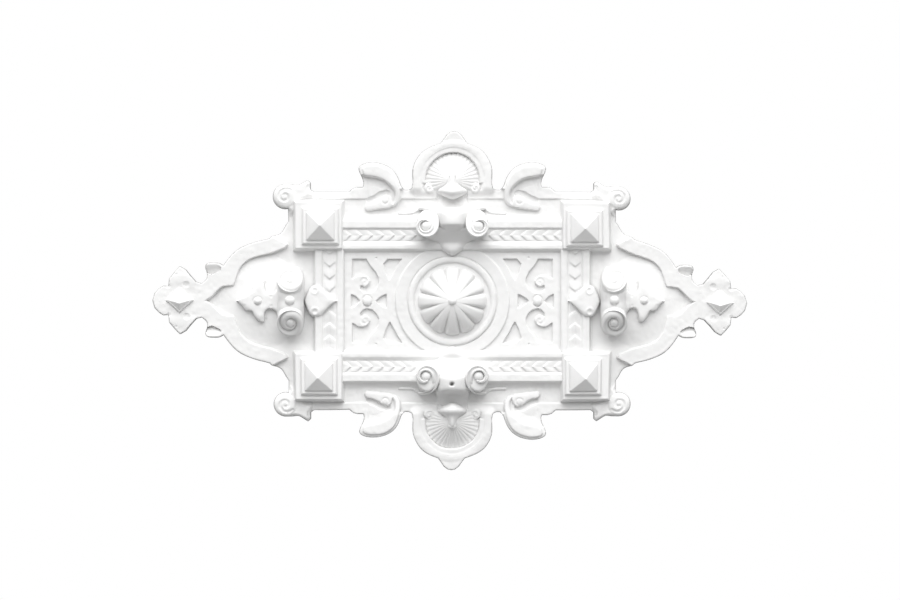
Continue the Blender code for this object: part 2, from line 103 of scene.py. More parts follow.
def value_noise(x: np.ndarray, z: np.ndarray, scale: float, seed: int) -> np.ndarray:
    """Even noise: hashed values at whole places of a lattice, blended by smooth steps.

    Args:
        x: Places along X in mm.
        z: Places along Z in mm.
        scale: Size of one lattice cell in mm.
        seed: Picks the pattern.

    Returns:
        Values from -1 to 1.
    """
    u, v = x / scale, z / scale
    iu, iv = np.floor(u), np.floor(v)
    fu, fv = ease(u - iu), ease(v - iv)

    def corner(du: int, dv: int) -> np.ndarray:
        """Hashed value at one corner of the cell."""
        raw = np.sin((iu + du) * 127.1 + (iv + dv) * 311.7 + seed * 74.7) * 43758.5453
        return 2.0 * (raw - np.floor(raw)) - 1.0

    low = corner(0, 0) * (1 - fu) + corner(1, 0) * fu
    high = corner(0, 1) * (1 - fu) + corner(1, 1) * fu
    return low * (1 - fv) + high * fv


def hand_drift(x: np.ndarray, z: np.ndarray) -> tuple[np.ndarray, np.ndarray]:
    """How far the hand-set parts stray at each place: the mean of DRIFT, weighted by nearness.

    Each row of DRIFT is a place and its shift. Its weight is exp(-(d / DRIFT_REACH)^2), and
    DRIFT_HOLD is added to the sum of the weights, so that far places stay.

    Args:
        x: Places along X in mm.
        z: Places along Z in mm.

    Returns:
        Shifts along X and Z.
    """
    mark = np.array(DRIFT)
    gap = (x[:, None] - mark[:, 0]) ** 2 + (z[:, None] - mark[:, 1]) ** 2
    near = np.exp(-gap / DRIFT_REACH ** 2)
    share = near / (near.sum(axis=1, keepdims=True) + DRIFT_HOLD)
    return share @ mark[:, 2], share @ mark[:, 3]


def curve_through(points: Points, rounds: int = 2) -> list[tuple[float, float]]:
    """Rounds a run of points: each new one is (9(b + c) - a - d) / 16 of its four neighbours.

    Args:
        points: The run, whose two ends are kept.
        rounds: How many times points are added.

    Returns:
        The finer run.
    """
    line = np.array(points, float)
    for _ in range(rounds):
        ends = np.vstack([line[:1], line, line[-1:]])
        middles = (9 * (ends[1:-2] + ends[2:-1]) - ends[:-3] - ends[3:]) / 16
        finer = np.empty((len(line) * 2 - 1, 2))
        finer[::2], finer[1::2] = line, middles
        line = finer
    return [tuple(p) for p in line]


def arc(centre: tuple[float, float], radius: float, start: float, end: float,
        count: int = 24) -> Points:
    """Points on an arc: centre plus radius times (cos a, sin a).

    Args:
        centre: Middle of the arc.
        radius: Its radius.
        start: First angle in degrees.
        end: Last angle in degrees.
        count: Number of steps.

    Returns:
        The points in order.
    """
    a = np.radians(np.linspace(start, end, count + 1))
    return list(zip(centre[0] + radius * np.cos(a), centre[1] + radius * np.sin(a)))


def spiral(centre: tuple[float, float], outer: float, inner: float, start: float, turns: float,
           hand: int, count: int = 48) -> Points:
    """Points of a spiral whose radius shrinks by one ratio for each step.

    Args:
        centre: Middle of the spiral.
        outer: First radius.
        inner: Last radius.
        start: First angle in degrees.
        turns: How many turns it makes.
        hand: 1 to wind from X to Z, -1 the other way.
        count: Number of steps.

    Returns:
        The points from outside to inside.
    """
    t = np.linspace(0, 1, count + 1)
    a = math.radians(start) + hand * turns * math.tau * t
    r = outer * (inner / outer) ** t
    return list(zip(centre[0] + r * np.cos(a), centre[1] + r * np.sin(a)))


def line_distance(x: np.ndarray, z: np.ndarray, points: Points, closed: bool = False,
                  reach: float = 14.0) -> np.ndarray:
    """Distance to a line of straight runs: the least distance to any run.

    Args:
        x: Places along X.
        z: Places along Z.
        points: Corners of the line.
        closed: Whether the last corner joins the first.
        reach: Places farther than this from the line's box keep a large distance.

    Returns:
        The distance at each place, in mm.
    """
    line = np.array(points, float)
    if closed:
        line = np.vstack([line, line[:1]])
    low, high = line.min(0) - reach, line.max(0) + reach
    near = (x > low[0]) & (x < high[0]) & (z > low[1]) & (z < high[1])
    px, pz = x[near], z[near]
    best = np.full(px.shape, FAR ** 2)
    for (ax, az), (bx, bz) in zip(line[:-1], line[1:]):
        ex, ez = bx - ax, bz - az
        share = np.clip(((px - ax) * ex + (pz - az) * ez) / max(ex * ex + ez * ez, TINY), 0, 1)
        best = np.minimum(best, (px - ax - share * ex) ** 2 + (pz - az - share * ez) ** 2)
    out = np.full(x.shape, FAR)
    out[near] = np.sqrt(best)
    return out


def shape_distance(x: np.ndarray, z: np.ndarray, points: Points,
                   reach: float = 14.0) -> np.ndarray:
    """Signed distance to a closed shape: below 0 inside, found by counting crossings of its edge.

    Args:
        x: Places along X.
        z: Places along Z.
        points: Corners of the shape.
        reach: How far outside its box distances are worked out.

    Returns:
        The signed distance at each place, in mm.
    """
    away = line_distance(x, z, points, closed=True, reach=reach)
    line = np.array(points, float)
    inside = np.zeros(x.shape, bool)
    for (ax, az), (bx, bz) in zip(line, np.roll(line, -1, axis=0)):
        if az != bz:
            inside ^= ((az > z) != (bz > z)) & (x < ax + (z - az) / (bz - az) * (bx - ax))
    return np.where(inside, -away, away)


def nearest_on_line(x: np.ndarray, z: np.ndarray, points: Points) -> tuple[np.ndarray, np.ndarray]:
    """Nearest place on a closed line of straight runs.

    Args:
        x: Places along X.
        z: Places along Z.
        points: Corners of the line.

    Returns:
        X and Z of the nearest places.
    """
    start = np.array(points, float)
    run = np.roll(start, -1, axis=0) - start
    away = np.stack([x, z], -1)[:, None, :] - start[None]
    share = np.clip((away * run).sum(-1) / np.maximum((run ** 2).sum(-1), TINY), 0, 1)
    place = start[None] + share[..., None] * run[None]
    gap = ((place - np.stack([x, z], -1)[:, None, :]) ** 2).sum(-1)
    best = place[np.arange(len(x)), gap.argmin(1)]
    return best[:, 0], best[:, 1]


def ellipse_distance(x: np.ndarray, z: np.ndarray, centre: tuple[float, float],
                     half: tuple[float, float]) -> np.ndarray:
    """Distance to an ellipse, near enough: (q - 1) times the smaller half size.

    Args:
        x: Places along X.
        z: Places along Z.
        centre: Middle of the ellipse.
        half: Its half sizes.

    Returns:
        Signed distance, below 0 inside.
    """
    q = np.hypot((x - centre[0]) / half[0], (z - centre[1]) / half[1])
    return (q - 1.0) * min(half)


def box_blur(values: np.ndarray, reach: int) -> np.ndarray:
    """Mean over a square window, from running sums.

    Args:
        values: A grid of values.
        reach: Half size of the window, in cells.

    Returns:
        The blurred grid.
    """
    size = 2 * reach + 1
    wide = np.pad(values, reach, mode="edge")
    for axis in (0, 1):
        total = np.cumsum(wide, axis=axis)
        total = np.concatenate([np.zeros_like(total.take([0], axis)), total], axis=axis)
        count = total.shape[axis]
        upto, before = (total.take(np.arange(start, start + count - size), axis)
                        for start in (size, 0))
        wide = (upto - before) / size
    return wide


@dataclass
class Relief:
    """Heights of the carved face at places of a grid, turned over into the first quarter."""

    x: np.ndarray
    z: np.ndarray
    height: np.ndarray

    def lift(self, where: np.ndarray, height: np.ndarray) -> None:
        """Raises the places of a mask to some height where they are lower."""
        self.height = np.where(where, np.maximum(self.height, height), self.height)

    def raise_shape(self, distance: np.ndarray, top: float | np.ndarray, wall: float = 2.0,
                    drop: float = 12.0, crown: float = 0.0, crown_cells: int = 5) -> None:
        """Adds a standing shape: its wall climbs by drop over its width, and a crown swells on it.

        The crown follows the shape's own mask, blurred twice, so it has no ridge in its middle.

        Args:
            distance: Signed distance to the shape's edge, below 0 inside.
            top: Height at the inner end of the wall.
            wall: Width of the wall inside the edge.
            drop: How far the wall's foot is below the top.
            crown: How much the middle stands above the top.
            crown_cells: How many grid cells wide the crown's swelling is.
        """
        swell = 0.0
        if crown:
            mask = box_blur(box_blur((distance < 0).astype(float), crown_cells), crown_cells)
            swell = crown * ease(2 * mask - 1)
        self.lift(distance < 0, top - drop * (1 - ease(-distance / wall)) + swell)

    def sink_shape(self, distance: np.ndarray, floor: float, wall: float = 2.0) -> None:
        """Cuts a hollow: inside the edge the height is the floor, and the wall climbs outside it.

        Args:
            distance: Signed distance to the hollow's edge, below 0 inside.
            floor: Height of its bottom.
            wall: Width of the wall outside the edge.
        """
        share = ease(distance / wall)
        sunk = floor + np.maximum(self.height - floor, 0) * share
        self.height = np.where(distance < wall, np.minimum(self.height, sunk), self.height)

    def add_bead(self, distance: np.ndarray, half: float, rise: float) -> None:
        """Adds a rounded ridge along a line: rise times the root of 1 - (distance / half)^2.

        Args:
            distance: Distance to the line.
            half: Half width of the ridge.
            rise: Its height over what carries it, or its depth if below 0.
        """
        q = np.clip(distance / half, 0, 1)
        self.height = self.height + rise * np.sqrt(1 - q * q)

    def set_dome(self, distance: np.ndarray, radius: float, base: float, rise: float) -> None:
        """Adds a round boss: base plus rise times the root of 1 - (1 + distance / radius)^2.

        Args:
            distance: Signed distance to its edge, below 0 inside.
            radius: Its radius.
            base: Height at the edge.
            rise: How much its middle stands above the edge.
        """
        q = np.clip(1 + distance / radius, 0, 1)
        self.lift(distance < 0, base + rise * np.sqrt(1 - q * q))


@dataclass
class Outline:
    """The edge of the whole rosette, from its quarter between the top middle and the right end."""

    half_length: float = 500.0
    half_height: float = 285.5
    finial: Points = ((6, 284.5), (13, 279), (18.5, 271), (22.5, 265.5))
    shoulder: Points = ((22.5, 265.5), (38, 259.5), (51.5, 251), (61.5, 237.5), (67, 221),
                        (66.5, 199))
    notch: Points = ((68.5, 189.5), (74, 187))
    leaf: Points = ((80, 187), (85.5, 193), (89.5, 204), (94, 213), (101.5, 222), (114, 229.5),
                    (129, 233), (143, 232.5), (153, 229), (157.5, 223.5), (156, 216), (151.5, 206),
                    (149.5, 197), (151, 192))
    horn: Points = ((160, 192), (167, 190), (174, 184), (233, 184), (238.5, 188), (238.5, 199),
                    (243.5, 203.5))
    ribbon: Points = ((243.5, 203.5), (252, 198.5), (260, 194.5), (270, 195.5))
    ear: tuple[float, float] = (281.5, 175.0)
    ear_radius: float = 20.8
    ear_ends: tuple[float, float] = (95.0, -104.0)
    plate_corner: tuple[float, float] = (276.0, 134.0)
    cusp: Points = ((280.5, 127.5), (284.1, 120.6), (288.4, 114.7), (295.1, 111), (302.7, 108.9),
                    (307, 105))
    sweep: Points = ((307, 105), (316, 102.4), (331, 98.5), (354, 89), (369.5, 75.5), (382, 58.5))
    tab: Points = ((389, 62.5), (399, 63), (409, 61.5), (412, 55), (409, 45.5), (410, 36),
                   (418, 28.7))
    cross: float = 454.3
    petals: Points = ((-27.5, 31), (-18.5, 41), (-10, 51.5), (0, 57.3), (9, 47.5), (17.5, 37),
                      (19, 24.5), (27.5, 25), (35, 20), (42, 12.5))

    def quarter(self) -> list[tuple[float, float]]:
        """Points of the quarter in order: cartouche, leaf, horn and scroll, lobe, and end cross.

        Returns:
            The points, in mm.
        """
        return [(0, self.half_height), *self.finial, *curve_through(self.shoulder)[1:],
                *self.notch, *curve_through(self.leaf), *self.horn,
                *curve_through(self.ribbon)[1:], *arc(self.ear, self.ear_radius, *self.ear_ends),
                self.plate_corner, *curve_through(self.cusp), *curve_through(self.sweep)[1:],
                *curve_through(self.tab), *[(self.cross + x, z) for x, z in self.petals],
                (self.half_length, 0)]


@dataclass
class Ground:
    """The low ground inside the raised border, with the pillow fields of the lobes."""

    border: float = 21.0
    plate: float = 12.0
    wall: float = 2.6
    beside_shell: Points = ((0, 199), (62, 199), (70, 195), (73, 197), (80.5, 195), (84, 190),
                            (97, 186))
    in_leaf: Points = ((101, 190), (109, 199), (122, 208), (138, 212.5), (151, 213), (164, 210),
                       (170, 202))
    in_ear: Points = ((330, 215), (330, 117), (307, 111), (297, 104.5), (286, 99.5), (278.5, 95))
    in_lobe: Points = ((281, 91), (290, 87), (305, 81), (331, 74), (346.5, 65.5), (357, 52),
                       (363.5, 32))
    neck: Points = ((366, 26), (382.5, 24.5), (393, 17), (401, 8), (413, 0))
    past_middle: tuple[float, float] = (-40.0, 186.0)
    field_middle: tuple[float, float] = (322.0, 0.0)
    field_half: tuple[float, float] = (74.0, 84.0)
    field_corner: tuple[float, float] = (248.0, 140.0)
    field_base: float = 11.0
    field_rise: float = 10.5
    field_fullness: float = 0.9
    course: float = 171.0
    course_ends: tuple[float, float] = (26.0, 236.0)
    course_rise: float = 2.6
    course_slope: float = 1.8

    def edge(self) -> list[tuple[float, float]]:
        """Edge of the ground, from the top middle by the right end to the bottom, and closed.

        Returns:
            Its points in order.
        """
        upper = [*self.beside_shell, *self.in_leaf, *self.in_ear, *curve_through(self.in_lobe, 1),
                 *curve_through(self.neck)]
        left, top = self.past_middle
        return upper + [(x, -z) for x, z in upper[-2::-1]] + [(left, -top), (left, top)]

    def lay(self, relief: Relief) -> None:
        """Border, then the ground as a hollow in it, then the fields, then the plate's course.

        A field's height is its base plus its rise times (1 - q^2)^fullness, q being the distance
        from its middle as a share of its half size.

        Args:
            relief: The heights to change.
        """
        x, z = relief.x, relief.z
        relief.height = np.full(x.shape, self.border)
        relief.sink_shape(shape_distance(x, z, self.edge(), reach=20.0) + self.wall, self.plate,
                          self.wall)
        on_field = (x > self.field_corner[0]) & (z < self.field_corner[1])
        q = np.hypot((x - self.field_middle[0]) / self.field_half[0],
                     (z - self.field_middle[1]) / self.field_half[1])
        swell = self.field_base + self.field_rise * np.clip(1 - q * q, 0, 1) ** self.field_fullness
        relief.lift(on_field, swell)
        on_course = ((x > self.course_ends[0]) & (x < self.course_ends[1])
                     & (relief.height < self.plate + 1))
        step = self.course_rise * ease((z - self.course) / self.course_slope)
        relief.height = relief.height + np.where(on_course, step, 0)


@dataclass(frozen=True)
class ChevronBand:
    """A band of chevrons that point to the middle, with each tooth as a share of its pitch."""

    middle: float
    half: float
    first: float
    pitch: float
    lean: float
    rise: float = 2.3
    climb: float = 0.11
    fall: float = 0.96
    hollow: float = 0.25
    fade: float = 1.2

    def height(self, along: np.ndarray, across: np.ndarray) -> np.ndarray:
        """Saw tooth of the place along the band minus lean times the distance from its middle.

        Each tooth climbs quickly and falls slowly, is lower aside, and fades at the band's edge.

        Args:
            along: Distance from the rosette's middle along the band.
            across: Place across the band.

        Returns:
            The height that the chevrons add.
        """
        aside = np.abs(across - self.middle)
        tooth = ((along - self.lean * aside - self.first) / self.pitch) % 1.0
        falling = 1 - ease((tooth - self.climb) / (1 - self.climb)) * self.fall
        wave = np.where(tooth < self.climb, ease(tooth / self.climb), falling)
        turn = np.clip(aside / self.half, 0, 1) * math.pi
        low_aside = 1 - self.hollow * (1 - np.cos(turn))
        return self.rise * wave * low_aside * (1 - ease((aside - self.half) / self.fade + 1))


@dataclass
class PictureFrame:
    """The moulded frame: two fillets with a band of chevrons between them, and a cove outside."""

    panel: float = 18.0
    boss: tuple[float, float] = (225.8, 127.5)
    across: Points = (
        (81.5, 18), (82.3, 18.6), (87.2, 25.4), (88.4, 26), (93.8, 26), (95, 25.6), (99.6, 22.8),
        (101, 22.4), (119.8, 22.4), (120.8, 22.8), (122.8, 25.7), (124, 26), (134, 26),
        (135.2, 25.4), (136.5, 21.5), (139, 17.3), (142, 14.3), (146, 12.4), (149, 12))
    upright: Points = (
        (180.6, 18), (181.4, 18.8), (183.2, 25), (184.4, 25.6), (192, 25.6), (193, 25.1),
        (195, 22.8), (196, 22.4), (217, 22.4), (218, 22.8), (219.6, 25.2), (220.6, 25.6),
        (229.6, 25.6), (230.8, 25), (232.6, 13), (234, 12))
    inner: tuple[float, float] = (181.0, 82.0)
    outer: tuple[float, float] = (234.0, 149.0)
    teeth_across: ChevronBand = ChevronBand(110.4, 9.2, 60.0, 18.3, 1.0)
    teeth_upright: ChevronBand = ChevronBand(206.4, 10.4, 15.0, 20.8, 0.77)

    def lay(self, relief: Relief) -> None:
        """Frame, by the profile of the nearer bar, with the panel inside it.

        Args:
            relief: The heights to change.
        """
        x, z = relief.x, relief.z
        in_panel = (x < self.inner[0]) & (z < self.inner[1])
        in_across = (z >= self.inner[1]) & (z < self.outer[1]) & (x < self.boss[0])
        in_upright = (x >= self.inner[0]) & (x < self.outer[0]) & (z < self.boss[1])
        from_across = np.interp(z, *zip(*self.across)) + self.teeth_across.height(x, z)
        from_upright = np.interp(x, *zip(*self.upright)) + self.teeth_upright.height(z, x)
        nearer_across = z - self.inner[1] > x - self.inner[0]
        both = in_across & in_upright
        height = np.where(in_across & ~(both & ~nearer_across), from_across, relief.height)
        height = np.where(in_upright & ~(both & nearer_across), from_upright, height)
        relief.height = np.where(in_panel, self.panel, height)


@dataclass
class Medallion:
    """The turned rings round the dome, on the middle panel."""

    radius: float = 97.0
    depth: float = 21.0
    crease: float = 75.5
    torus: float = 69.8
    torus_half: float = 5.2
    torus_rise: float = 3.0
    well: float = 63.5
    floor: float = 19.5

    def lay(self, relief: Relief) -> None:
        """Disc, crease, rounded ring and the flat inside it, all from the distance to the middle.

        Args:
            relief: The heights to change.
        """
        r = np.hypot(relief.x, relief.z)
        relief.raise_shape(r - self.radius, self.depth, wall=2.2, drop=3.2)
        relief.add_bead(np.abs(r - self.crease), half=1.5, rise=-1.4)
        relief.add_bead(np.abs(r - self.torus), self.torus_half, self.torus_rise)
        relief.sink_shape(r - self.well, self.floor, wall=1.4)


@dataclass
class Strapwork:
    """The sunk shapes that leave scrolled straps standing at both ends of the panel."""

    floor: float = 13.0
    wall: float = 1.6
    hook: Points = ((167.4, 70), (145.5, 70), (142.2, 64), (137.9, 57.3), (130.4, 48.9),
                    (125.3, 38.8), (124.5, 30.4), (128.7, 21.9), (135.4, 16), (143.9, 13.5),
                    (149.7, 16), (154, 21.1), (154, 25.3), (148.9, 22.8), (143, 24.5),
                    (139.1, 28.7), (138.3, 33.7), (140.5, 38.8), (145.5, 42.5), (153.1, 44.3),
                    (160.7, 42.7), (167.4, 37.9))
    triangle: Points = ((115, 62), (108, 70), (86.5, 70), (96, 54), (105.5, 36.5), (111, 48))
    outer_nick: Points = ((169.5, 10.5), (164, 8), (160, 4), (157, 0), (160, -4), (164, -8),
                          (169.5, -10.5))
    inner_nick: Points = ((111.5, 10.5), (117, 8), (123, 4), (127, 0), (123, -4), (117, -8),
                          (111.5, -10.5))
    nip: Points = ((128.6, 72.0), (128.2, 73.4))
    curl: tuple[float, float] = (147.0, 33.0)
    bead: tuple[float, float] = (143.0, 0.0)
    bead_half: tuple[float, float] = (7.6, 8.4)
    bead_base: float = 18.0
    bead_rise: float = 4.5

    def lay(self, relief: Relief) -> None:
        """Hollows of the hook, corner and nicks, then the curl in the scroll's head and the bead.

        Args:
            relief: The heights to change.
        """
        x, z = relief.x, relief.z
        for shape in (self.hook, self.triangle, self.outer_nick, self.inner_nick):
            relief.sink_shape(shape_distance(x, z, shape), self.floor, self.wall)
        curl = spiral(self.curl, outer=8.5, inner=2.0, start=300, turns=0.9, hand=1, count=30)
        relief.add_bead(line_distance(x, z, curl), half=2.2, rise=-0.8)
        relief.add_bead(line_distance(x, z, self.nip), half=1.4, rise=-1.6)
        bead = ellipse_distance(x, z, self.bead, self.bead_half)
        relief.add_bead(np.abs(bead - 1.0), half=1.3, rise=-1.2)
        relief.set_dome(bead, min(self.bead_half), self.bead_base, self.bead_rise)


@dataclass
class ScrollLeaf:
    """The C-shaped acanthus leaf over the plate's edge: crescent, belly, eye and tail."""

    body_depth: float = 14.5
    belly_depth: float = 15.0
    tail_depth: float = 18.5
    crescent_depth: float = 22.5
    crescent_fall: float = 4.0
    fall_from: float = 198.0
    fall_length: float = 32.0
    outer: Points = ((156.5, 222), (153, 229), (143, 232.5), (129, 233), (114, 229.5), (101, 222),
                     (94, 213), (89, 203), (85.2, 190), (83.6, 179), (85, 169), (90, 160.5),
                     (99, 155.5), (113.5, 153.5), (128.7, 151.8), (145.5, 150))
    outer_in_crescent: int = 25
    heel: Points = ((147.2, 160.2), (147.2, 176), (151, 188), (149.5, 197), (151.5, 206),
                    (156, 216))
    crescent_inner: Points = ((112, 158), (106, 162), (101.5, 169), (100, 178), (102, 186),
                              (109, 194), (118, 200.5), (128, 204), (138.8, 205.5), (149.5, 207.5),
                              (153.5, 212))
    belly: Points = ((152, 205), (140, 204), (127, 202.5), (115, 197), (104, 189), (96, 180),
                     (94, 169), (100, 160), (113, 155.5), (129, 154), (147, 153), (150, 176),
                     (151, 188), (149.5, 197))
    tail: Points = ((97, 160), (104, 155.5), (113.5, 154), (128.7, 152), (145, 150.5), (149, 157),
                    (145.5, 164.5), (136, 166.5), (126, 171), (118, 177), (109, 179), (101, 174))
    fold: Points = ((138, 168), (129, 171.5), (119, 178), (111, 180))
    eye: tuple[float, float] = (113.0, 169.5)
    eye_radius: float = 5.8

    def lay(self, relief: Relief) -> None:
        """Low body, domed belly, fold, tail, then the high crescent and the ring of the eye.

        The crescent's depth falls smoothly towards the tail.

        Args:
            relief: The heights to change.
        """
        x, z = relief.x, relief.z
        outer, belly, tail, inner = (curve_through(line, 1) for line in (
            self.outer, self.belly, self.tail, self.crescent_inner))
        relief.raise_shape(shape_distance(x, z, [*outer, *self.heel]), self.body_depth, wall=9.0,
                           drop=3.0, crown=0.6)
        relief.raise_shape(shape_distance(x, z, belly), self.belly_depth, wall=12.0, drop=3.0,
                           crown=1.0, crown_cells=13)
        relief.add_bead(line_distance(x, z, self.fold), half=7.0, rise=-4.0)
        relief.raise_shape(shape_distance(x, z, tail), self.tail_depth, wall=3.0, drop=9.0,
                           crown=1.2)
        crescent = [*outer[:self.outer_in_crescent], *inner]
        fall = self.crescent_fall * ease((self.fall_from - z) / self.fall_length)
        relief.raise_shape(shape_distance(x, z, crescent), self.crescent_depth - fall, wall=5.5,
                           drop=10.0, crown=2.4)
        eye = np.hypot(x - self.eye[0], z - self.eye[1])
        relief.add_bead(np.abs(eye - self.eye_radius), half=1.8, rise=-0.9)


@dataclass
class CornerScroll:
    """The horn, ribbon and round scroll at each corner of the plate."""

    centre: tuple[float, float] = (281.5, 175.0)
    radius: float = 21.0
    rim: float = 13.0
    rise: float = 9.5
    ribbon_depth: float = 17.5
    ribbon: Points = ((226, 172), (235, 186), (237, 199), (243.5, 206), (254, 202), (264, 198),
                      (284, 199), (301, 190), (304, 172), (292, 155), (277, 149), (277, 138),
                      (262, 148), (260, 160), (244, 170))
    dimple: tuple[float, float] = (243.0, 190.5)
    dimple_half: tuple[float, float] = (2.2, 5.8)

    def lay(self, relief: Relief) -> None:
        """Soft ribbon, plump disc, a shallow groove that winds in, and the hollow of the horn.

        The disc's height is rim + rise times the root of 1 - (r / radius)^4.

        Args:
            relief: The heights to change.
        """
        x, z = relief.x, relief.z
        band = shape_distance(x, z, curve_through(self.ribbon, 1))
        relief.raise_shape(band, self.ribbon_depth, wall=9.0, drop=6.0, crown=1.5, crown_cells=6)
        r = np.hypot(x - self.centre[0], z - self.centre[1])
        plump = self.rim + self.rise * np.sqrt(1 - np.clip(r / self.radius, 0, 1) ** 4)
        relief.lift(r < self.radius, plump)
        groove = spiral(self.centre, outer=14.5, inner=3.5, start=140, turns=1.2, hand=-1,
                        count=60)
        relief.add_bead(line_distance(x, z, groove), half=2.6, rise=-1.5)
        dimple = ellipse_distance(x, z, self.dimple, self.dimple_half) + min(self.dimple_half)
        relief.add_bead(dimple, half=2.4, rise=-2.2)


@dataclass
class CartoucheRim:
    """The raised rim round each shell, its hooked ends and the small finial."""

    bowl_half: float = 47.0
    bowl_z: float = 204.0
    bowl_floor: float = 11.0
    bowl_wall: float = 3.4
    sill: float = 190.0
    sill_rise: float = 9.0
    sill_slope: float = 14.0
    moulding: Points = (
        (0, 15.5), (1.6, 17.6), (4, 20.0), (8, 21.8), (12, 22.2), (16, 22), (22, 20.8), (40, 19.5))
    middle_half: float = 26.0
    reach_middle: float = 44.0
    reach_aside: float = 27.0
    reach_fade: float = 7.0
    side_end: float = 76.0
    foot: float = 174.0
    foot_fade: float = 18.0
    hook: tuple[float, float] = (38.5, 190.5)
    hook_radius: float = 9.0
    hook_base: float = 18.0
    hook_rise: float = 3.4
    wing: Points = ((56, 155), (62, 150.5), (70, 148.4), (89, 147.6))

    def arch(self) -> list[tuple[float, float]]:
        """Edge of the bowl: a half circle on a straight sill.

        Returns:
            Its points in order.
        """
        around = arc((0.0, self.bowl_z), self.bowl_half, 0, 180, 48)
        return [(self.bowl_half, self.sill), *around, (-self.bowl_half, self.sill)]

    def lay(self, relief: Relief) -> None:
        """Rim as a moulding that follows the bowl, the bowl sunk inside it, and the hooks.

        The moulding fades out towards the plate, and aside of the finial also outwards.

        Args:
            relief: The heights to change.
        """
        x, z = relief.x, relief.z
        away = shape_distance(x, z, self.arch(), reach=30.0)
        in_middle = x < self.middle_half
        reach = np.where(in_middle, self.reach_middle, self.reach_aside)
        on_rim = (x < self.side_end) & (away > 0) & (away < reach)
        aside = np.where(in_middle, 1.0, ease((self.reach_aside - away) / self.reach_fade))
        share = np.where(on_rim, ease((z - self.foot) / self.foot_fade) * aside, 0)
        grown = np.maximum(relief.height, np.interp(away, *zip(*self.moulding)))
        relief.height = relief.height + (grown - relief.height) * share
        relief.add_bead(line_distance(x, z, curve_through(self.wing)), half=2.0, rise=3.0)
        floor = self.bowl_floor + self.sill_rise * ease((self.bowl_z - z) / self.sill_slope)
        relief.sink_shape(away + self.bowl_wall, floor, self.bowl_wall)
        hook = np.hypot(x - self.hook[0], z - self.hook[1])
        relief.set_dome(hook - self.hook_radius, self.hook_radius, self.hook_base, self.hook_rise)
        curl = spiral(self.hook, outer=6.0, inner=2.0, start=80, turns=0.9, hand=1, count=24)
        relief.add_bead(line_distance(x, z, curl), half=1.8, rise=-1.4)


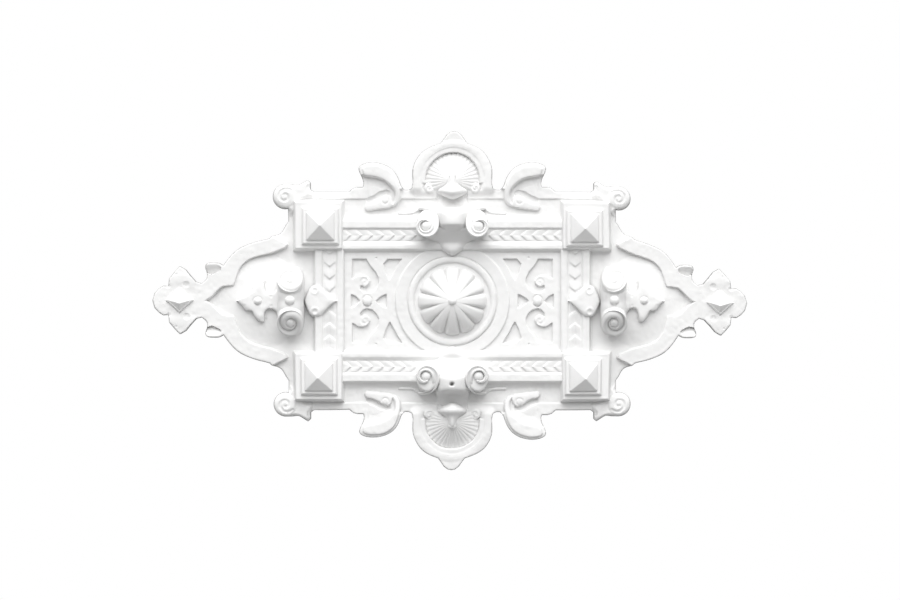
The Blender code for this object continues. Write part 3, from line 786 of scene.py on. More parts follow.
@dataclass
class LobeCarving:
    """The cross-leaf, the diamond leaf, the rolled tab and the end cross of each lobe."""

    leaf: Points = ((365, 0), (356.3, 5.5), (349.6, 15.2), (344.5, 18.8), (337.5, 18.8),
                    (335.5, 22), (333, 27), (327.7, 33.9), (321, 37.8), (315, 36.5), (312.5, 31),
                    (313, 24), (310.5, 17), (306, 14.5), (301, 16), (297, 21.5), (294, 24),
                    (288, 22), (284, 10), (282, 0))
    leaf_depth: float = 27.5
    diamond_leaf: Points = ((250, 0), (248, 7), (241.6, 21.9), (233.2, 28), (221, 27), (210, 16.5),
                            (199, 6), (189, 0))
    diamond_depth: float = 28.5
    leaf_dimples: tuple[tuple[float, float, float, float], ...] = (
        (231.0, 17.5, 3.6, 1.6), (314.5, 30.0, 3.2, 1.2), (348.0, 8.0, 3.0, 0.8),
        (303.5, 8.0, 2.6, 0.9))
    ring_radius: float = 6.0
    bead: float = 325.5
    bead_radius: float = 6.2
    bead_base: float = 29.5
    bead_rise: float = 7.0
    cross: float = 454.3
    cross_from: float = 414.3
    cross_fade: float = 10.0
    pillow_ring: float = 36.0
    pillow_width: float = 11.0
    pillow_rise: float = 1.4
    petal_dimples: tuple[tuple[float, float, float, float], ...] = (
        (443.0, 27.0, 5.6, 1.6), (473.0, 24.0, 3.6, 1.2), (460.0, 44.0, 2.0, 0.9))
    tab: Points = ((412.5, 60), (400, 60.5), (388, 57), (385.5, 51), (393, 46.5), (401, 43),
                   (408.5, 45.5))
    tab_foot: float = 43.5
    tab_height: float = 17.0
    tab_depth: float = 13.5
    tab_rise: float = 8.0

    @staticmethod
    def lay_dimples(relief: Relief, dimples: Sequence[Sequence[float]]) -> None:
        """Presses round dimples in.

        Args:
            relief: The heights to change.
            dimples: X, Z, radius and how deep it is, for each.
        """
        for middle_x, middle_z, radius, deep in dimples:
            away = np.hypot(relief.x - middle_x, relief.z - middle_z)
            relief.add_bead(away, radius, -deep)

    def lay_leaves(self, relief: Relief) -> None:
        """Both leaves as crowned shapes, their dimples, and the ringed bead on the cross-leaf.

        Args:
            relief: The heights to change.
        """
        x, z = relief.x, relief.z
        for shape, top in ((self.leaf, self.leaf_depth), (self.diamond_leaf, self.diamond_depth)):
            half = curve_through(shape, 1)
            whole = half + [(px, -pz) for px, pz in half[-2:0:-1]]
            relief.raise_shape(shape_distance(x, z, whole), top, wall=3.4, drop=20.0, crown=3.6,
                               crown_cells=6)
        self.lay_dimples(relief, self.leaf_dimples)
        dimple_x, dimple_z = self.leaf_dimples[0][:2]
        ring = np.hypot(x - dimple_x, z - dimple_z) - self.ring_radius
        relief.add_bead(np.abs(ring), half=1.8, rise=0.7)
        bead = np.hypot(x - self.bead, z) - self.bead_radius
        relief.set_dome(bead, self.bead_radius, self.bead_base, self.bead_rise)
        relief.add_bead(np.abs(bead - 1.0), half=1.6, rise=-1.0)

    def lay_cross(self, relief: Relief) -> None:
        """Petals as soft pillows with dimples, and the tab's pocket as a slope that faces down.

        A pillow's height is its rise times exp(-((q - ring) / width)^2), where q is the greater
        of the distances from the cross's middle along X and Z.

        Args:
            relief: The heights to change.
        """
        x, z = relief.x, relief.z
        reach = np.maximum(np.abs(x - self.cross), np.abs(z))
        pillow = self.pillow_rise * np.exp(-((reach - self.pillow_ring) / self.pillow_width) ** 2)
        relief.height = relief.height + ease((x - self.cross_from) / self.cross_fade) * pillow
        self.lay_dimples(relief, self.petal_dimples)
        pocket = shape_distance(x, z, curve_through(self.tab, 1))
        slope = np.clip((z - self.tab_foot) / self.tab_height, 0, 1)
        sunk = np.minimum(relief.height, self.tab_depth + self.tab_rise * slope)
        relief.height = np.where(pocket < 0, sunk, relief.height)

    def lay(self, relief: Relief) -> None:
        """Adds the leaves and the cross."""
        self.lay_leaves(relief)
        self.lay_cross(relief)




def piece_from(name: str, points: np.ndarray, faces: np.ndarray, recess: np.ndarray | None,
               extra: Iterable[Sequence[int]], sharp: float = 40.0) -> bpy.types.Object:
    """Makes a piece from corner places in mm, as X, depth and Z, and faces of four corners.

    Args:
        name: Name of the piece.
        points: Places, one row each: X, depth in front of the back, Z.
        faces: Rows of corners.
        recess: How sunk each place is, from 0 to 1, for the dust and painted shade in the hollows
            and the painted dark line on walls.
        extra: Faces with another number of corners.
        sharp: Edges that turn by more than this many degrees stay crisp.

    Returns:
        The new object, at the origin.
    """
    away_x, away_z = hand_drift(points[:, 0], points[:, 2])
    places = np.stack([points[:, 0] + away_x, -points[:, 1], points[:, 2] + away_z], -1) * MM
    mesh = bpy.data.meshes.new(name)
    mesh.from_pydata(places.tolist(), [], faces.tolist() + list(extra))
    values = np.zeros(len(points), np.float32) if recess is None else recess.astype(np.float32)
    mesh.attributes.new("recess", "FLOAT", "POINT").data.foreach_set("value", values)
    mesh.validate()
    mesh.shade_smooth()
    mesh.set_sharp_from_angle(angle=math.radians(sharp))
    mesh.update()
    made = bpy.data.objects.new(name, mesh)
    bpy.context.scene.collection.objects.link(made)
    return made


@dataclass
class CarvedFace:
    """The whole carved face, one field of heights on a grid, cut into pieces at its mouldings."""

    outline: Outline
    ground: Ground
    frame_moulding: PictureFrame
    medallion: Medallion
    hand_cut: Sequence[Strapwork | ScrollLeaf | CornerScroll | CartoucheRim | LobeCarving]
    step: float = 1.05
    seam_x: tuple[float, float] = (182.0, 276.0)
    seam_z: tuple[float, float] = (84.0, 140.0)
    stray: float = 0.45
    stray_noise: tuple[tuple[float, int], ...] = ((17.0, 3), (19.0, 5))
    uneven: float = 0.3
    uneven_noise: tuple[tuple[float, int, float], ...] = (
        (31.0, 11, 1.0), (12.0, 13, 0.8), (6.0, 17, 0.75))
    edge_round: float = 2.6
    edge_fullness: float = 0.98
    outline_shade_line: float = 1.5
    outline_shade_fade: float = 0.9
    sunk_cells: int = 5
    sunk_depth: float = 6.0
    sunk_most: float = 0.5
    past_edge: float = 60.0
    pull_cells: float = 1.3
    wall_rows: tuple[float, ...] = (0.93, 0.5, 0.0)

    def lines(self, seams: tuple[float, float], end: float) -> np.ndarray:
        """Grid lines about one step apart, with a line in the middle and at every seam.

        Args:
            seams: Places of the two seams on the positive side.
            end: Half size of the outline, which the grid passes by 1 mm.

        Returns:
            All the places.
        """
        inner, outer = seams
        stops = (-end - 1, -outer, -inner, 0, inner, outer, end + 1)
        runs = [np.linspace(a, b, max(2, round((b - a) / self.step) + 1))[:-1]
                for a, b in zip(stops[:-1], stops[1:])]
        return np.concatenate([*runs, [stops[-1]]])

    def heights(self, x: np.ndarray, z: np.ndarray) -> np.ndarray:
        """Height of the relief at every place, by each sub-assembly in turn.

        For the hand-cut ones the places are pulled about by a little noise first.

        Args:
            x: Places along X.
            z: Places along Z.

        Returns:
            Heights in mm.
        """
        relief = Relief(np.abs(x), np.abs(z), np.zeros(x.shape))
        for part in (self.ground, self.frame_moulding, self.medallion):
            part.lay(relief)
        relief.x, relief.z = (np.abs(place + self.stray * value_noise(x, z, scale, seed))
                              for place, (scale, seed) in zip((x, z), self.stray_noise))
        for part in self.hand_cut:
            part.lay(relief)
        return relief.height + self.uneven * sum(
            share * value_noise(x, z, scale, seed) for scale, seed, share in self.uneven_noise)

    def build(self) -> list[bpy.types.Object]:
        """Works out the grid once, then makes the five pieces that meet at the seams.

        The outline's edge is rounded off, and places count as sunk where the relief is lower than
        its blurred self, and on the very edge.

        Returns:
            The pieces: panel, upper and lower plate, and the two lobes.
        """
        x, z = np.meshgrid(self.lines(self.seam_x, self.outline.half_length),
                           self.lines(self.seam_z, self.outline.half_height))
        edge = shape_distance(np.abs(x), np.abs(z), self.quarter_shape(), reach=8.0)
        height = self.heights(x, z)
        # The sunk share is painted as dust and shade in the hollows, and as a painted dark line
        # along the outline's very edge.
        lower = (box_blur(height, self.sunk_cells) - height) / self.sunk_depth
        sunk = np.maximum(self.sunk_most * np.clip(lower, 0, 1),
                          ease((self.outline_shade_line + edge) / self.outline_shade_fade))
        q = 1 - np.clip(-edge, 0, self.edge_round) / self.edge_round
        height = height - self.edge_round * (1 - np.sqrt(1 - q * q * self.edge_fullness))
        cx, cz = (x[:-1, :-1] + x[1:, 1:]) / 2, (z[:-1, :-1] + z[1:, 1:]) / 2
        solid = (edge[:-1, :-1] + edge[1:, :-1] + edge[:-1, 1:] + edge[1:, 1:]) / 4 < 0
        panel = (np.abs(cx) < self.seam_x[0]) & (np.abs(cz) < self.seam_z[0])
        lobe = (np.abs(cx) > self.seam_x[1]) & (np.abs(cz) < self.seam_z[1])
        plate = ~panel & ~lobe
        cuts = {"middle_panel": panel, "upper_plate": plate & (cz > 0),
                "lower_plate": plate & (cz < 0), "left_lobe": lobe & (cx < 0),
                "right_lobe": lobe & (cx > 0)}
        return [self.cut_piece(name, solid & cut, x, z, edge, height, sunk)
                for name, cut in cuts.items()]

    def quarter_shape(self) -> list[tuple[float, float]]:
        """The outline's quarter, closed through a far corner past the middle lines."""
        quarter, past = self.outline.quarter(), -self.past_edge
        return [(past, quarter[0][1]), *quarter, (quarter[-1][0], past), (past, past)]

    def cut_piece(self, name: str, cells: np.ndarray, x: np.ndarray, z: np.ndarray,
                  edge: np.ndarray, height: np.ndarray, sunk: np.ndarray) -> bpy.types.Object:
        """Makes one closed piece: the cells' tops, walls below their free edges, and a flat back.

        Corners on the free edge that lie near the outline are moved on to it.

        Args:
            name: Name of the piece.
            cells: Which cells belong to it.
            x: Places of the grid along X.
            z: Places of the grid along Z.
            edge: Signed distance to the outline.
            height: Heights of the relief.
            sunk: How sunk each place is.

        Returns:
            The piece.
        """
        columns = x.shape[1]
        row, column = np.nonzero(cells)
        first = row * columns + column
        quads = np.stack([first, first + 1, first + columns + 1, first + columns], -1)
        used, flat = np.unique(quads, return_inverse=True)
        quads = flat.reshape(quads.shape)
        px, pz, top, away = (values.ravel()[used] for values in (x, z, height, edge))
        starts, ends = quads.ravel(), np.roll(quads, -1, axis=1).ravel()
        count = len(used)
        free = ~np.isin(starts * count + ends, ends * count + starts)
        upper_a, upper_b = starts[free], ends[free]
        rim = np.unique(upper_a)
        moved = rim[away[rim] > -self.pull_cells * self.step]
        near_x, near_z = nearest_on_line(np.abs(px[moved]), np.abs(pz[moved]),
                                         self.quarter_shape())
        px[moved] = near_x * np.where(px[moved] < 0, -1, 1)
        pz[moved] = near_z * np.where(pz[moved] < 0, -1, 1)
        place = np.zeros(count, int)
        place[rim] = np.arange(len(rim))
        rim_a, rim_b = place[upper_a], place[upper_b]
        layers, faces = [np.stack([px, top, pz], -1)], [quads]
        for number, share in enumerate(self.wall_rows):
            layers.append(np.stack([px[rim], top[rim] * share, pz[rim]], -1))
            offset = count + number * len(rim)
            lower_a, lower_b = rim_a + offset, rim_b + offset
            faces.append(np.stack([upper_b, upper_a, lower_a, lower_b], -1))
            upper_a, upper_b = lower_a, lower_b
        points = np.vstack(layers)
        # Walls count as fully sunk, so they are painted dark: a painted shade line round the
        # outline.
        recess = np.concatenate([sunk.ravel()[used], np.ones(len(points) - count)])
        return piece_from(name, points, np.vstack(faces), recess, self.loops(lower_b, lower_a))

    @staticmethod
    def loops(starts: np.ndarray, ends: np.ndarray) -> list[list[int]]:
        """Joins directed edges into closed loops of corners.

        Args:
            starts: Where each edge starts.
            ends: Where it ends.

        Returns:
            The loops.
        """
        following = dict(zip(starts.tolist(), ends.tolist()))
        found = []
        while following:
            start, here = following.popitem()
            loop = [start]
            while here != start and here in following:
                loop.append(here)
                here = following.pop(here)
            found.append(loop)
        return found


def closed_sheet(name: str, x: np.ndarray, depth: np.ndarray, z: np.ndarray,
                 side: Side = Side.UPPER_RIGHT, recess: np.ndarray | None = None,
                 sharp: float = 40.0) -> bpy.types.Object:
    """Makes a piece from a grid of places that closes round, with flat faces on its two ends.

    Rows run along the form and columns round it. The grid's own turning decides which way its
    faces look, so they are set right by the sign of the volume it holds.

    Args:
        name: Name of the piece.
        x: Places along X in mm.
        depth: Depths in mm.
        z: Places along Z in mm.
        side: Where the mirrored copy stands.
        recess: How sunk each place is.
        sharp: Angle past which edges stay crisp.

    Returns:
        The piece.
    """
    index = np.arange(x.size).reshape(x.shape)
    wrapped = np.hstack([index, index[:, :1]])
    quads = np.stack([wrapped[:-1, :-1], wrapped[:-1, 1:], wrapped[1:, 1:], wrapped[1:, :-1]], -1)
    quads = quads.reshape(-1, 4)
    caps = [index[0, ::-1].tolist(), index[-1].tolist()]
    sign_x, sign_z = side.value
    points = np.stack([x.ravel() * sign_x, depth.ravel(), z.ravel() * sign_z], -1)
    seen = points * (1, -1, 1)
    volume = 0.0
    for corners in (seen[quads], *(seen[[cap]] for cap in caps)):
        fan = np.cross(corners[:, 1:-1] - corners[:, :1], corners[:, 2:] - corners[:, :1])
        volume += np.einsum("ik,ijk->", corners[:, 0], fan)
    if volume < 0:
        quads, caps = quads[:, ::-1], [cap[::-1] for cap in caps]
    return piece_from(name, points, quads, None if recess is None else recess.ravel(), caps, sharp)


def turned(name: str, middle: tuple[float, float], reach: np.ndarray, depth: np.ndarray,
           side: Side = Side.UPPER_RIGHT, half: tuple[float, float] = (1.0, 1.0),
           count: int = 48) -> bpy.types.Object:
    """A turned form: a profile carried once round an axis that looks forwards.

    Args:
        name: Name of the piece.
        middle: Where its axis stands, along X and Z.
        reach: Distances of the profile from the axis.
        depth: Depths of the profile.
        side: Where it stands.
        half: What the distances are multiplied by along X and Z.
        count: Places round the axis.

    Returns:
        The piece.
    """
    turn = np.linspace(0, math.tau, count, endpoint=False)
    x = middle[0] + reach[:, None] * half[0] * np.cos(turn)
    z = middle[1] + reach[:, None] * half[1] * np.sin(turn)
    return closed_sheet(name, x, np.repeat(depth[:, None], count, 1), z, side)


def round_cap(radius: float, base: float, rise: float, lifts: tuple[float, float],
              rows: int) -> tuple[np.ndarray, np.ndarray]:
    """Profile of a round cap: reach = radius cos(lift) and depth = base + rise sin(lift).

    Args:
        radius: Its radius.
        base: Depth of its widest ring.
        rise: How far its top stands above that ring.
        lifts: First and last lift in radians.
        rows: Number of rings.

    Returns:
        Reach and depth of each ring.
    """
    lift = np.linspace(*lifts, rows)
    return radius * np.cos(lift), base + rise * np.sin(lift)


def smooth_rows(stations: Sequence[Sequence[float]], count: int) -> np.ndarray:
    """Stations of a loft made finer: a curve is passed through each column of their values.

    Args:
        stations: Rows of values in order.
        count: Number of rows wanted.

    Returns:
        The finer rows.
    """
    rows = np.array(stations, float)
    t = np.linspace(0, len(rows) - 1, count)
    i = np.clip(t.astype(int), 0, len(rows) - 2)
    f = (t - i)[:, None]
    pad = np.vstack([2 * rows[0] - rows[1], rows, 2 * rows[-1] - rows[-2]])
    p0, p1, p2, p3 = pad[i], pad[i + 1], pad[i + 2], pad[i + 3]
    return 0.5 * (2 * p1 + (p2 - p0) * f + (2 * p0 - 5 * p1 + 4 * p2 - p3) * f ** 2
                  + (3 * p1 - p0 - 3 * p2 + p3) * f ** 3)


def arch_loft(name: str, centre: float, stations: Sequence[Sequence[float]], power: float,
              side: Side, rows: int = 72, columns: int = 48,
              holes: Sequence[tuple[float, float, float, float]] = ()) -> bpy.types.Object:
    """A swelling body along Z: at each place a rounded arch of its own half width and depth.

    The arch is a superellipse: |x / half|^p + |depth / height|^p = 1.

    Args:
        name: Name of the piece.
        centre: Middle of the body along X.
        stations: Rows of Z, half width and depth.
        power: How square the arch is.
        side: Where it stands.
        rows: Rings along the body.
        columns: Places across the arch.
        holes: Drilled hollows as X, Z, radius and depth.

    Returns:
        The piece.
    """
    place, half, depth = smooth_rows(stations, rows).T
    a = np.linspace(0, math.pi, columns)
    cos, sin = np.cos(a), np.sin(a)
    x = centre + np.sign(cos) * np.abs(cos) ** (2 / power) * half[:, None]
    d = ARCH_FOOT + np.abs(sin) ** (2 / power) * (depth[:, None] - ARCH_FOOT)
    z = np.repeat(place[:, None], columns, axis=1)
    recess = np.zeros(x.shape)
    # Each hole's dent is painted with dust and shade, near black at its deepest.
    for hole_x, hole_z, radius, deep in holes:
        dent = np.exp(-((np.hypot(x - hole_x, z - hole_z) / radius) ** 4)) * (d > HOLE_FROM)
        d, recess = d - deep * dent, np.maximum(recess, dent)
    return closed_sheet(name, x, d, z, side, recess)


def swept_ribbon(name: str, path: Points, widths: Sequence[float], tops: Sequence[float],
                 base: float, side: Side, rounding: float, hollow: float) -> bpy.types.Object:
    """A standing ribbon: a rounded strip profile carried along a path seen from the front.

    Args:
        name: Name of the piece.
        path: Its middle line.
        widths: Half widths at even places along the path.
        tops: Depths of its upper edge at even places along the path.
        base: Depth of its foot.
        side: Where it stands.
        rounding: Radius of its upper corners.
        hollow: How far the middle of its upper side is sunk.

    Returns:
        The piece.
    """
    line = np.array(curve_through(path), float)
    run = np.gradient(line, axis=0)
    run = run / np.linalg.norm(run, axis=1, keepdims=True)
    share = np.linspace(0, 1, len(line))
    half, high = (np.interp(share, np.linspace(0, 1, len(values)), values)[:, None]
                  for values in (widths, tops))
    turn = np.linspace(0, math.pi / 2, 5)
    corner = np.minimum(rounding, half * 0.8)
    left = -half + corner * (1 - np.cos(turn))
    rise = high - corner * (1 - np.sin(turn))
    flat = np.linspace(-1, 1, 7)[1:-1]
    foot = np.full_like(half, base)
    offset = np.hstack([-half, left, (half - corner) * flat, -left[:, ::-1], half])
    depth = np.hstack([foot, rise, high - hollow * (1 - flat ** 2), rise[:, ::-1], foot])
    return closed_sheet(name, line[:, :1] - run[:, 1:] * offset, depth,
                        line[:, 1:] + run[:, :1] * offset, side)


def square_rings(profile: Points, between: int, corner: float) -> tuple[np.ndarray, ...]:
    """Rings of rounded squares along a profile of half size and depth.

    Args:
        profile: Half sizes and depths in order.
        between: How many rings there are for each run of the profile.
        corner: Radius at the squares' corners, where they are large enough.

    Returns:
        Half sizes as one column, then depths, X and Z of the rings.
    """
    half, depth = np.array(profile, float).T
    fine = np.linspace(0, len(half) - 1, (len(half) - 1) * between + 1)
    half, depth = (np.interp(fine, np.arange(len(v)), v)[:, None] for v in (half, depth))
    steps = np.linspace(0, math.pi / 2, 7)
    turns = np.concatenate([steps + k * math.pi / 2 for k in range(4)])
    sign_x = np.repeat([1, -1, -1, 1], len(steps))
    sign_z = np.repeat([1, 1, -1, -1], len(steps))
    radius = np.minimum(corner, half * 0.5)
    reach = half - radius
    x, z = reach * sign_x + radius * np.cos(turns), reach * sign_z + radius * np.sin(turns)
    return half, np.repeat(depth, x.shape[1], axis=1), x, z


@dataclass
class Bosses:
    """The stepped square bosses with pyramids that cover the four corners of the frame."""

    middle: tuple[float, float] = (225.0, 127.0)
    places: tuple[tuple[Side, tuple[float, float], tuple[float, float]], ...] = (
        (Side.UPPER_RIGHT, (222.3, 122.5), (0.5, -1.5)),
        (Side.UPPER_LEFT, (221.5, 125.7), (0.5, 1.0)),
        (Side.LOWER_LEFT, (224.0, 127.0), (1.5, 2.0)),
        (Side.LOWER_RIGHT, (220.0, 127.5), (3.5, 3.0)))
    corner: float = 1.3
    pyramid_foot: float = 42.0
    pyramid_rise: float = 20.0
    upper_from: float = 36.0
    upper_fade: float = 4.0
    wobble: float = 0.25
    wobble_noise: tuple[float, int] = (9.0, 23)
    wobble_span: tuple[float, float] = (4.0, 14.0)
    profile: Points = (
        (44.6, 6), (43.4, 13), (41.2, 22), (39.6, 29.5), (38.9, 32.0), (37.8, 33), (36.2, 33),
        (33.4, 32.6), (31.6, 33.0), (30.4, 36.4), (29.2, 39.2), (28.2, 40.0), (27.2, 40.2),
        (25.2, 39.8), (24.0, 39.9), (23.6, 41.0), (23.2, 43.4), (22.4, 44.6), (17.2, 48.7),
        (11.5, 53.2), (5.5, 57.8), (2.2, 60.3), (0.9, 61.3), (0.3, 61.7))

    def boss(self, side: Side, upper: tuple[float, float],
             lean: tuple[float, float]) -> bpy.types.Object:
        """Carries the profile round squares; its upper part stands off its foot and leans a bit.

        Args:
            side: The quarter it stands in.
            upper: Middle of its upper part.
            lean: How far its point leans.

        Returns:
            The boss.
        """
        half, d, x, z = square_rings(self.profile, 4, self.corner)
        share = np.clip((d[:, :1] - self.pyramid_foot) / self.pyramid_rise, 0, 1)
        raised = ease((self.upper_from - half) / self.upper_fade)
        x, z = (values + low + (high - low) * raised + off * share for values, low, high, off in
                zip((x, z), self.middle, upper, lean))
        low, high = self.wobble_span
        wobble = (self.wobble * value_noise(x + d, z, *self.wobble_noise)
                  * np.clip((half - low) / (high - low), 0, 1))
        return closed_sheet(f"boss_{side.name.lower()}", x + wobble, d, z + wobble, side,
                            sharp=28.0)

    def build(self) -> list[bpy.types.Object]:
        """All four bosses."""
        return [self.boss(side, upper, lean) for side, upper, lean in self.places]


@dataclass
class EndDiamonds:
    """The low pyramids on bevelled diamonds at the middles of the end crosses."""

    middle: tuple[float, float] = (454.3, 0.5)
    lean: float = -5.4
    corner: float = 1.0
    squash: float = 0.93
    pyramid_foot: float = 25.6
    pyramid_rise: float = 9.2
    profile: Points = (
        (17.6, 12), (17.2, 20), (16.6, 22.0), (15.4, 24.2), (14.6, 25.2), (14.0, 25.6),
        (13.2, 25.6), (12.6, 26.0), (8.4, 29.0), (4.2, 32.0), (1.6, 33.9), (0.6, 34.6),
        (0.2, 34.8))

    def build(self) -> list[bpy.types.Object]:
        """Carries the profile round squares turned by an eighth of a circle.

        Returns:
            The two diamonds.
        """
        _, d, u, v = square_rings(self.profile, 5, self.corner)
        share = np.clip((d - self.pyramid_foot) / self.pyramid_rise, 0, 1)
        x = (u - v) * math.sqrt(0.5) + self.middle[0]
        z = (u + v) * math.sqrt(0.5) * self.squash + self.middle[1] + self.lean * share
        return [closed_sheet(f"{label}_end_diamond", x, d, z, side, sharp=22.0)
                for side, label in HALVES_ACROSS]


@dataclass
class GadroonDome:
    """The dome of twelve swelling lobes in the middle, with its button."""

    radius: float = 59.2
    base: float = 16.0
    foot: float = 8.0
    rise: float = 40.0
    fullness: tuple[float, float] = (1.8, 0.6)
    lobes: int = 12
    cut: float = 6.4
    cut_from: float = 0.28
    cut_fade: float = 0.6
    scallop: float = 0.05
    dust: float = 0.33
    dust_and_shade_most: float = 0.3
    skirt: tuple[float, int] = (0.12, 5)
    crown: tuple[float, int] = (0.97, 46)
    lobe_steps: int = 24
    button: tuple[float, float, float] = (7.6, 53.5, 7.5)
    button_foot: float = 49.5

    def build(self) -> list[bpy.types.Object]:
        """Lobes by angle: each swells as 1 - s^4 between its two valleys, which fade inwards.

        Without them the depth is base + rise times (1 - t^a)^b, t being the share of the radius
        and a and b the two numbers of fullness.

        Returns:
            The dome and the button.
        """
        angles = np.linspace(0, math.tau, self.lobes * self.lobe_steps, endpoint=False)
        rings = np.concatenate([np.linspace(0, *self.skirt)[:-1],
                                np.linspace(self.skirt[0], *self.crown)])
        t, a = np.meshgrid(1 - rings, angles, indexing="ij")
        valley = np.abs(((a * self.lobes / math.tau + 0.5) % 1.0) * 2 - 1) ** 4
        r = t * self.radius * (1 - self.scallop * valley)
        depth = (self.base + self.rise * (1 - t ** self.fullness[0]) ** self.fullness[1]
                 - self.cut * valley * ease((t - self.cut_from) / self.cut_fade))
        depth[0] = self.foot
        # Dust and painted shade in the valleys between the lobes.
        recess = np.minimum(valley * self.dust, self.dust_and_shade_most)
        reach, high = round_cap(*self.button, lifts=(0.0, 1.45), rows=14)
        high[0] = self.button_foot
        return [closed_sheet("gadroon_dome", r * np.cos(a), depth, r * np.sin(a), recess=recess,
                             sharp=55.0),
                turned("dome_button", (0.0, 0.0), reach, high, count=40)]


@dataclass
class Console:
    """The scrolled consoles above and below the panel: saddle, bowl and two volutes each."""

    saddle: tuple[tuple[float, float, float], ...] = (
        (177, 25, 13), (170, 26, 18), (164, 27, 23), (160, 28, 27), (157, 28.5, 34),
        (154.5, 29, 45), (152, 29, 58), (149.5, 29, 65.5), (146, 28.8, 68.6), (139, 28, 70.2),
        (131, 27, 70.6), (127, 26, 68.5), (123, 25, 60), (118, 24, 50), (112, 22.5, 43),
        (104, 20, 37))
    bowl: tuple[tuple[float, float, float], ...] = (
        (133, 30, 40), (127, 50, 47), (119, 57.5, 49), (112, 55, 44), (105, 46, 38),
        (99, 34, 33.5), (95, 28, 33.5), (90, 23.5, 35.5), (85, 18, 35.5), (80, 11, 32),
        (76, 3, 26))
    saddle_power: float = 2.5
    bowl_power: float = 2.3
    hole: tuple[float, float, float, float] = (-0.7, 139.0, 3.4, 9.0)
    drum: tuple[float, float] = (43.0, 130.5)
    drum_half: tuple[float, float] = (16.5, 21.5)
    drum_profile: Points = ((1.04, 8), (1.02, 42), (0.97, 51), (0.9, 54), (0.7, 55.2),
                            (0.4, 55.7), (0.06, 56))
    ribbon: Points = ((57, 155), (50, 155), (42, 153), (35, 148.5), (30, 141.5), (28, 132.5),
                      (29, 123), (34, 115.4), (42, 112), (50.5, 113.6), (56.2, 120), (57, 128),
                      (52.5, 134), (46, 135.4), (40.5, 133))
    ribbon_widths: tuple[float, ...] = (1.2, 3.0, 4.8, 5.8, 6.0, 5.4, 4.4, 3.4, 2.4, 1.4)
    ribbon_tops: tuple[float, ...] = (19, 36, 50, 58, 62, 64, 64, 63, 62, 60)
    eye: tuple[float, float] = (44.0, 125.5)
    eye_cap: tuple[float, float, float] = (8.2, 56.5, 5.5)

    def body(self, side: Side, label: str) -> list[bpy.types.Object]:
        """Saddle and bowl as arches carried along Z; only the lower saddle has the hole.

        Args:
            side: The half it stands in.
            label: Word for the half.

        Returns:
            The two pieces.
        """
        holes = (self.hole,) if label == "lower" else ()
        return [arch_loft(f"{label}_saddle", 0.0, self.saddle, self.saddle_power, side, rows=110,
                          columns=90, holes=holes),
                arch_loft(f"{label}_bowl", 0.0, self.bowl, self.bowl_power, side)]

    def volute(self, side: Side) -> list[bpy.types.Object]:
        """The drum of the volute, its winding ribbon and the eye.

        Args:
            side: The quarter it stands in.

        Returns:
            The pieces.
        """
        tag = side.name.lower()
        share, depth = smooth_rows(self.drum_profile, 28).T
        return [turned(f"volute_drum_{tag}", self.drum, share, depth, side, self.drum_half,
                       count=64),
                swept_ribbon(f"volute_ribbon_{tag}", self.ribbon, self.ribbon_widths,
                             self.ribbon_tops, base=12.0, side=side, rounding=2.2, hollow=2.6),
                turned(f"volute_eye_{tag}", self.eye,
                       *round_cap(*self.eye_cap, lifts=(0.0, 1.5), rows=16), side, count=64)]

    def build(self) -> list[bpy.types.Object]:
        """Both consoles, then all their volutes."""
        bodies = [piece for side, label in HALVES_UP for piece in self.body(side, label)]
        return bodies + [piece for side in Side for piece in self.volute(side)]


@dataclass
class Cartouche:
    """The fluted shell, the bead at its heart and the hat-shaped knob of each cartouche."""

    shell_z: float = 203.0
    shell_radius: float = 46.0
    shell_base: float = 14.5
    shell_foot: float = 12.5
    shell_rise: float = 26.0
    shell_past: float = 0.5
    bulge: float = 0.9
    flutes: int = 23
    flute_steps: int = 14
    flute_depth: float = 0.5
    flute_power: float = 1.1
    flute_from: float = 0.2
    flute_fade: float = 0.6
    scallop: float = 0.02
    dust: float = 0.1
    knob: tuple[tuple[float, float, float], ...] = (
        (171, 3, 30), (172.5, 7.5, 41), (175, 12.5, 48), (178, 18.5, 52), (181.5, 24, 54),
        (184.5, 25.8, 54), (187.5, 24.8, 52.5), (190, 21, 50), (193, 16.6, 47.5), (197, 13.4, 46),
        (202, 11, 45), (206.5, 9.4, 44), (210, 7.2, 42), (212.5, 3.6, 36), (213.4, 1.2, 30))
    knob_power: float = 2.0
    bead_z: float = 209.5
    bead_half: tuple[float, float] = (1.0, 0.9)
    bead_profile: Points = ((6.6, 20), (6.6, 33), (6.2, 36), (5.2, 38), (3.6, 39.6), (1.8, 40.4),
                            (0.3, 40.6))

    def shell(self, side: Side, label: str) -> bpy.types.Object:
        """A fan of rounded flutes: the edge and the depth both swing with the angle.

        The fan goes past a half circle by shell_past radians at each end, behind the rim's sill.

        Args:
            side: The half it stands in.
            label: Word for the half.

        Returns:
            The shell.
        """
        past = self.shell_past
        t, a = np.meshgrid(
            np.linspace(1, 0.02, 54),
            np.linspace(-past, math.pi + past, self.flutes * self.flute_steps), indexing="ij")
        turn = (a + past) / (math.pi + 2 * past) * self.flutes * math.pi
        valley = 1 - np.abs(np.sin(turn)) ** self.flute_power
        r = t * self.shell_radius * (1 - self.scallop * valley)
        depth = (self.shell_base + self.shell_rise * (1 - t ** self.bulge)
                 - self.flute_depth * valley * ease((t - self.flute_from) / self.flute_fade))
        depth[0] = self.shell_foot
        # Dust and painted shade in the flutes' valleys.
        return closed_sheet(f"{label}_shell", r * np.cos(a), depth,
                            self.shell_z + r * np.sin(a), side, valley * self.dust, sharp=60.0)

    def build(self) -> list[bpy.types.Object]:
        """Both cartouches: the shell, the knob with its neck on the bead, and the turned bead.

        Returns:
            The pieces.
        """
        made = []
        reach, depth = smooth_rows(self.bead_profile, 30).T
        for side, label in HALVES_UP:
            made += [self.shell(side, label),
                     arch_loft(f"{label}_knob", 0.0, self.knob, self.knob_power, side),
                     turned(f"{label}_shell_bead", (0.0, self.bead_z), reach, depth, side,
                            self.bead_half)]
        return made


